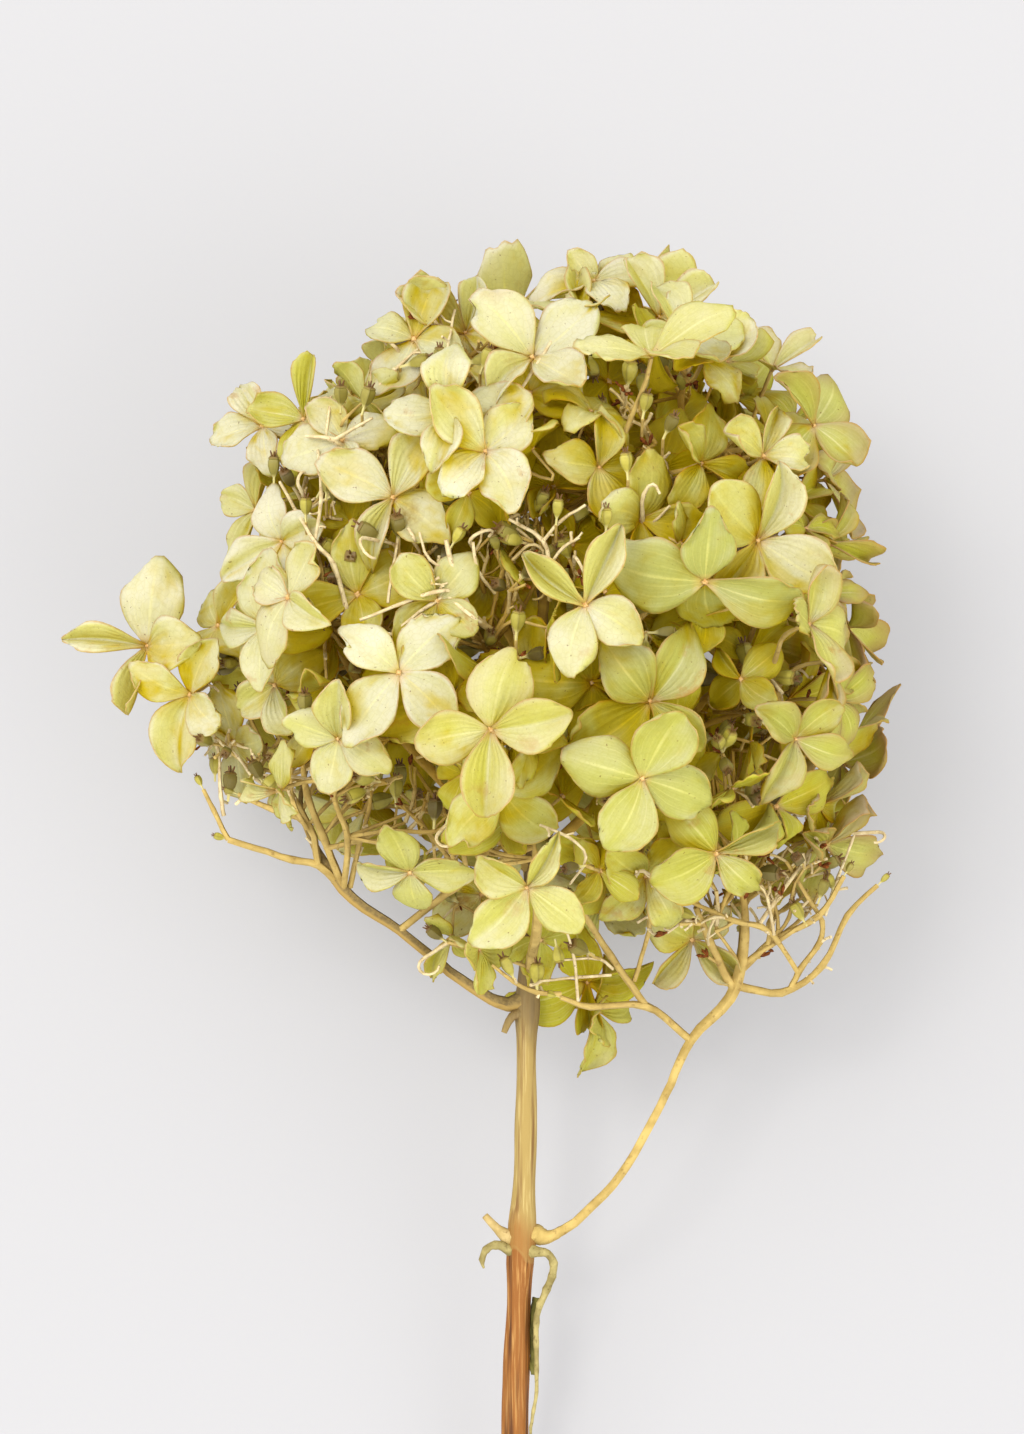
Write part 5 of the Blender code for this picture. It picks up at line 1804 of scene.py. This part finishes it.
tissue = sepalTissue()
beadSkin = spotted("dried_flower_bead", "#B98C4C", "#D8B477", "#7E5128", 0.7, 0.7, 0.2)
twigBark = spotted("straw_dry_twig_bark", "#A68B4A", "#C2A760", "#8B6E3A", 3.0, 0.75, 0.1)
brokenTwig = spotted("broken_pale_stalk", "#BCA678", "#DCCB9E", "#8C6E42", 1.6, 0.75, 0.1)
branchBark = spotted(
    "weathered_branch_bark", "#75633F", "#917B4A", "#564728", 0.7, 0.85, 0.12, 0.15, "#A88A4A"
)
budSkin = spotted("dark_dried_bud", "#5C3014", "#864A1E", "#331A0C", 0.6, 0.7, 0.15, 0.08)
husk = capsuleHusk()
shootSkin = spotted("dry_side_shoot_rind", "#A38A50", "#C0A870", "#86693A", 2.0, 0.75, 0.1)
stalkSkin = spotted("withered_leaf_stalk", "#7C6E3C", "#A99A60", "#5A4A22", 2.5, 0.7, 0.15)
print("head materials made")


shading = {
    "rings": [(0, 1), (28, 3), (58, 6)],  # degrees off the way out of the head, and how many rays there
    "reach": 0.045,
    "start": 0.0006,
    "share": 0.9,
}


def shadeSepals(sepals):
    # how much of the way out of the head other sepals cover, kept at each vertex for the tissue's painted
    # shade
    vertices = []
    faces = []
    for blade in sepals:
        first = len(vertices)
        vertices += [vertex.co.copy() for vertex in blade.data.vertices]
        faces += [[first + corner for corner in face.vertices] for face in blade.data.polygons]
    tree = BVHTree.FromPolygons(vertices, faces)
    middle = onTable(head["axisU"], head["middleV"], 0)
    for blade in sepals:
        places = [vertex.co for vertex in blade.data.vertices]
        way = (sum(places, Vector()) / len(places) - middle).normalized()
        side = way.orthogonal().normalized()
        rays = []
        for degrees, count in shading["rings"]:
            for k in range(count):
                turned = Matrix.Rotation(k * math.tau / count + degrees, 3, way) @ side
                rays.append(way * math.cos(math.radians(degrees)) + turned * math.sin(math.radians(degrees)))
        covered = np.zeros((len(places), len(rays)))
        for row, place in enumerate(places):
            for column, ray in enumerate(rays):
                hit = tree.ray_cast(place + ray * shading["start"], ray, shading["reach"])
                covered[row, column] = hit[0] is not None
        floatsOf(blade.data, "shade", covered.mean(axis=1) * shading["share"])


def buildHead():
    blanks = {"capsule": capsuleBlank(), "bud": budBlank(), "bead": beadBlank()}
    blanks.update((kind, flatSepal(*grid)) for kind, grid in sepal["grids"].items())
    finishes = {"capsule": husk, "bud": budSkin, "bead": beadSkin, "outer": tissue, "inner": tissue}
    for kind, finish in finishes.items():
        blanks[kind].data.materials.append(finish)
    rng = random.Random(sepal["seed"])
    twigRng = random.Random(twig["seed"])
    grown = gapSprigs()
    sepals = {name: [] for name in sprays}
    beads = {name: [] for name in sprays}
    for name, spray in sprays.items():
        for floret in spray["florets"]:
            kind = "inner" if "inner" in floret else "outer"
            lost = sepal["lostInner"] if kind == "inner" else 0
            gone = rng.randrange(form["sepals"]) if rng.random() < lost else None
            for k in range(form["sepals"]):
                if k != gone:
                    sepals[name].append(shapeSepal(blanks[kind], floret, k, rng))
            spot = floret["centre"] + floret["normal"] * bead["sit"]
            spin = rng.uniform(0, 1.5)
            beads[name].append(stamp(blanks["bead"], spot, floret["normal"], spin, rng.uniform(0.8, 1.15)))
    shadeSepals([blade for several in sepals.values() for blade in several])
    print("sepals shaped and shaded")
    for name, spray in sprays.items():
        count = len(sepals[name])
        blades = joined("sepals_" + name, sepals[name])
        thicken(blades, sepal["thickness"])
        blades.data.shade_smooth()
        blades = joined("sepals_" + name, [blades] + beads[name])
        paths, fruits = dressSpray(name, spray, twigRng, blanks, grown[name])
        stalks = tubes("twigs_" + name, paths, [twigBark, brokenTwig, branchBark], twig["sides"])
        husks = joined("capsules_" + name, fruits)
        for piece, slot in ((blades, "dried_florets"), (stalks, "dried_twigs"), (husks, "seed_capsules")):
            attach(piece, "root")
            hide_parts("spray_" + name)
        print(name, count, "sepals", len(paths), "twigs", len(fruits), "capsules and buds")
    for blank in blanks.values():
        bpy.data.objects.remove(blank)


buildHead()


# Stem

stem = {
    "sides": 24,
    "step": 2.0,
    "ribs": 7,
    "ribDepth": 0.05,
    "roughDepth": 0.06,
    "seed": 71,
    "nodeV": 38.5,
    "nodeReach": 5.0,
    "nodeSlim": 0.13,
    "scarV": (36.4, 40.6),
    "scarDepth": 0.16,
    "scarReach": 0.9,
    "scarDrop": 1.1,  # how far the leaf scar's line drops for each mm away from its point
    "scarPoint": -1.4,
}
stemStubs = [  # stubs of lost side shoots and leaf stalks: u, v, w, radius
    [(-0.4, 38.6, -0.4, 2.2), (-3.0, 39.3, 0, 1.9), (-4.2, 40.0, 0.5, 1.4), (-5.6, 41.2, 1.0, 0.95),
     (-8.0, 43.8, 1.5, 0.74)],
    [(-1.0, 36.0, 0.4, 1.7), (-3.8, 37.3, 1, 1.1), (-6.0, 37.9, 1.3, 0.8), (-7.8, 37.0, 1.5, 0.72),
     (-8.6, 35.0, 1.5, 0.58), (-8.2, 33.3, 1.5, 0.2)],
    [(0.4, 84.5, 0.5, 1.3), (-2.6, 83.6, 2, 0.9), (-4.2, 80.4, 2.5, 0.6)],
]
stemLook = {
    "wood": "#88541F",
    "woodPale": "#B5874A",
    "woodDark": "#56300F",
    "flushed": "#93672F",
    "flush": (47.0, 40.0),  # browner again just above the node
    "bark": "#75613C",
    "weathered": (76.0, 86.0),  # grey-brown where the branches leave
    "tan": "#9F864A",
    "tanDark": "#78582E",
    "tanPale": "#BDA76C",
    "woodTo": 36.4,
    "tanFrom": 37.6,
    "streakMm": 0.42,
    "streakLong": 28.0,  # how much longer than wide a streak is
}


def stemBark():
    # woody bark below the node, red-brown with pale lengthwise streaks; dry tan rind above it
    made, add = newMaterial("stem_bark_and_dry_rind")
    look = stemLook
    place = add("TexCoord", None, "Object")
    level = add("Attribute", {"attribute_name": "stemV"}, "Fac")
    streaks = (1, look["streakLong"], 1)
    stretch = {"vector_type": "TEXTURE", "Rotation": lyingTurn.to_euler(), "Scale": streaks}
    spun = add("Mapping", {**stretch, "Vector": place})
    streak = add("TexNoise", {"Scale": 1 / (look["streakMm"] * mm), "Detail": 5.0, "Vector": spun})
    broad = add("TexNoise", {"Scale": 0.35 / (look["streakMm"] * mm), "Detail": 3.0, "Vector": spun})
    mottle = add("TexNoise", {"Scale": 400.0, "Detail": 5.0, "Vector": place})
    pale = add("MapRange", {"From Min": 0.5, "From Max": 0.72, "Value": streak})
    dark = add("MapRange", {"From Min": 0.5, "From Max": 0.36, "Value": broad})
    colours = []
    for base, paler, deeper in (("wood", "woodPale", "woodDark"), ("tan", "tanPale", "tanDark")):
        colour = add("Mix", {"data_type": "RGBA", 0: pale, 6: linear(look[base]), 7: linear(look[paler])}, 2)
        colours.append(add("Mix", {"data_type": "RGBA", 0: dark, 6: colour, 7: linear(look[deeper])}, 2))
    wandering = add("Math", {"operation": "MULTIPLY_ADD", 0: mottle, 1: 2.0, 2: -1.0})
    wandering = add("Math", {"operation": "ADD", 0: wandering, 1: level})
    share = add("MapRange", {"From Min": look["woodTo"], "From Max": look["tanFrom"], "Value": wandering})
    colour = add("Mix", {"data_type": "RGBA", 0: share, 6: colours[0], 7: colours[1]}, 2)
    for zone, tint in (("flush", "flushed"), ("weathered", "bark")):
        start, end = look[zone]
        reach = {"interpolation_type": "SMOOTHSTEP", "From Min": start, "From Max": end, "Value": level}
        reach = add("MapRange", reach)
        reach = add("Math", {"operation": "MULTIPLY", "use_clamp": True, 0: reach, 1: broad})
        reach = add("Math", {"operation": "MULTIPLY", "use_clamp": True, 0: reach, 1: 1.7})
        if zone == "flush":
            reach = add("Math", {"operation": "MULTIPLY", 0: reach, 1: share})
        colour = add("Mix", {"data_type": "RGBA", 0: reach, 6: colour, 7: linear(look[tint])}, 2)
    relief = add("Math", {"operation": "ADD", 0: streak, 1: mottle})
    return coated(made, add, colour, relief, 0.62, 0.25, 0.6, 0.3)


def stemRod():
    # drawn out from row to row up the stem, then ribbed, roughened and pinched at its scars
    rows = np.arange(stemRows[0][1], stemRows[-1][1] + stem["step"], stem["step"])
    rows = np.minimum(rows, stemRows[-1][1])
    us = smoothRead([(v, u) for u, v, _ in stemRows], rows)
    radii = smoothRead([(v, radius) for _, v, radius in stemRows], rows)
    rod = drawnOut("stem_rod", stem["sides"], list(zip(rows, radii)))
    places = vertexPlaces(rod.data)
    rng = random.Random(stem["seed"])
    phases = [rng.uniform(0, math.tau) for _ in range(3)]
    v = places[:, 2] + rows[0]
    angle = np.arctan2(places[:, 1], places[:, 0])
    swell = 1 + stem["ribDepth"] * np.sin(stem["ribs"] * angle + v / 30 + phases[0]) / 2
    swell += stem["roughDepth"] / 2 * np.sin(3 * angle + v / 7 + phases[1]) * np.sin(v / 3.3 + phases[2])
    swell -= stem["nodeSlim"] * np.exp(-(((v - stem["nodeV"]) / stem["nodeReach"]) ** 2))
    for scar in stem["scarV"]:
        swell -= stem["scarDepth"] / 3 * np.exp(-(((v - scar) / stem["scarReach"]) ** 2))
    u = np.interp(v, rows, us)
    placed = laid(np.stack([u + places[:, 0] * swell, v, -places[:, 1] * swell], axis=1))
    placed[:, 2] = np.maximum(placed[:, 2], 0)
    setPlaces(rod.data, placed)
    aside = np.abs(places[:, 0] - stem["scarPoint"])
    floatsOf(rod.data, "stemV", v + np.minimum(aside, 3) * stem["scarDrop"] - 1)
    rod.data.shade_smooth()
    rod.data.set_sharp_from_angle(angle=math.radians(60))
    return rod


def buildStem():
    bark = stemBark()
    rod = stemRod()
    rod.data.materials.append(bark)
    rng = random.Random(stem["seed"] + 1)
    paths = [(softened(asPath(rows, twig["slim"]), rng), finish) for finish, rows in enumerate(stemStubs)]
    stubs = tubes("stubs", paths, [shootSkin, stalkSkin, bark], 2)
    levels = standing(vertexPlaces(stubs.data))[:, 1]
    floatsOf(stubs.data, "stemV", np.maximum(levels, stemLook["flush"][0] + 1))
    whole = joined("barked_stem", [rod, stubs])
    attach(whole, "root")
    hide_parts("stem")


buildStem()
print("stem made")


# The shrivelled leaf that hangs beside the stem

leafStalk = [  # u, v, w, radius
    (0.2, 36.8, 0.6, 1.9),
    (2.6, 36.6, 1.9, 1.05),
    (4.5, 36.3, 2.3, 0.82),
    (5.7, 34.4, 2.5, 0.78),
    (5.4, 31.8, 2.6, 0.76),
    (4.3, 29.2, 2.5, 0.76),
    (3.0, 26.3, 2.4, 0.66),
    (2.3, 22.5, 2.3, 0.56),
    (2.2, 18.7, 2.2, 0.52),
    (2.3, 13.0, 2.1, 0.44),
    (2.3, 8.6, 2.0, 0.34),
    (1.7, 5.0, 1.9, 0.36),
    (1.1, 1.5, 1.8, 0.3),
    (0.9, -1.5, 1.7, 0.22),
]
leafBlade = {
    "seed": 5,
    "top": 27.3,
    "bottom": 12.0,
    "width": 5.0,
    "besideStem": 2.25,
    "sway": 0.1,
    "lean": 0.42,  # how far it slants towards the stem for each mm back
    "frontEdge": 1.6,
    "fold": 0.5,
    "tipShare": 0.35,
    "topOut": 0.8,  # the top leans out to its stalk
    "rootShare": 0.92,
    "depthShare": 0.35,
    "thickness": 0.4,
    "crumple": 0.28,
    "columns": 10,
    "rows": 30,
}


def buildLeaf():
    blade = leafBlade
    bpy.ops.mesh.primitive_grid_add(x_subdivisions=blade["columns"], y_subdivisions=blade["rows"], size=2)
    leaf = bpy.context.object
    grid = vertexPlaces(leaf.data)
    along = (1 - grid[:, 1]) / 2
    across = grid[:, 0]
    share = blade["tipShare"] + (blade["rootShare"] - blade["tipShare"]) * along
    width = blade["width"] * np.sin(math.pi * share)
    v = blade["top"] + (blade["bottom"] - blade["top"]) * along
    u = blade["besideStem"] + blade["sway"] * np.cos(math.pi * along) + blade["fold"] * (np.abs(across) - 1)
    u += blade["topOut"] * (1 - along) ** 5
    u -= blade["lean"] * width * blade["depthShare"] * (1 + across)
    u += blade["crumple"] * np.sin(along * 19 + across * 3) * np.cos(across * 4 + along * 7)
    w = blade["frontEdge"] - width * blade["depthShare"] * (1 + across)
    w += blade["crumple"] * np.sin(along * 27 + 1) * across
    setPlaces(leaf.data, laid(np.stack([u, v, w], axis=1)))
    leaf.data.materials.append(spotted("withered_leaf_blade", "#45421A", "#6B672C", "#2A260E", 3.0, 0.7, 0.3))
    thicken(leaf, blade["thickness"])
    leaf.data.shade_smooth()
    path = softened(asPath(leafStalk, twig["slim"]), random.Random(blade["seed"]))
    stalk = tubes("leaf_stalk", [(path, 0)], [stalkSkin], 2)
    whole = joined("withered_leaf_on_stalk", [leaf, stalk])
    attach(whole, "root")
    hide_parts("dried_leaf")


buildLeaf()
print("leaf made")
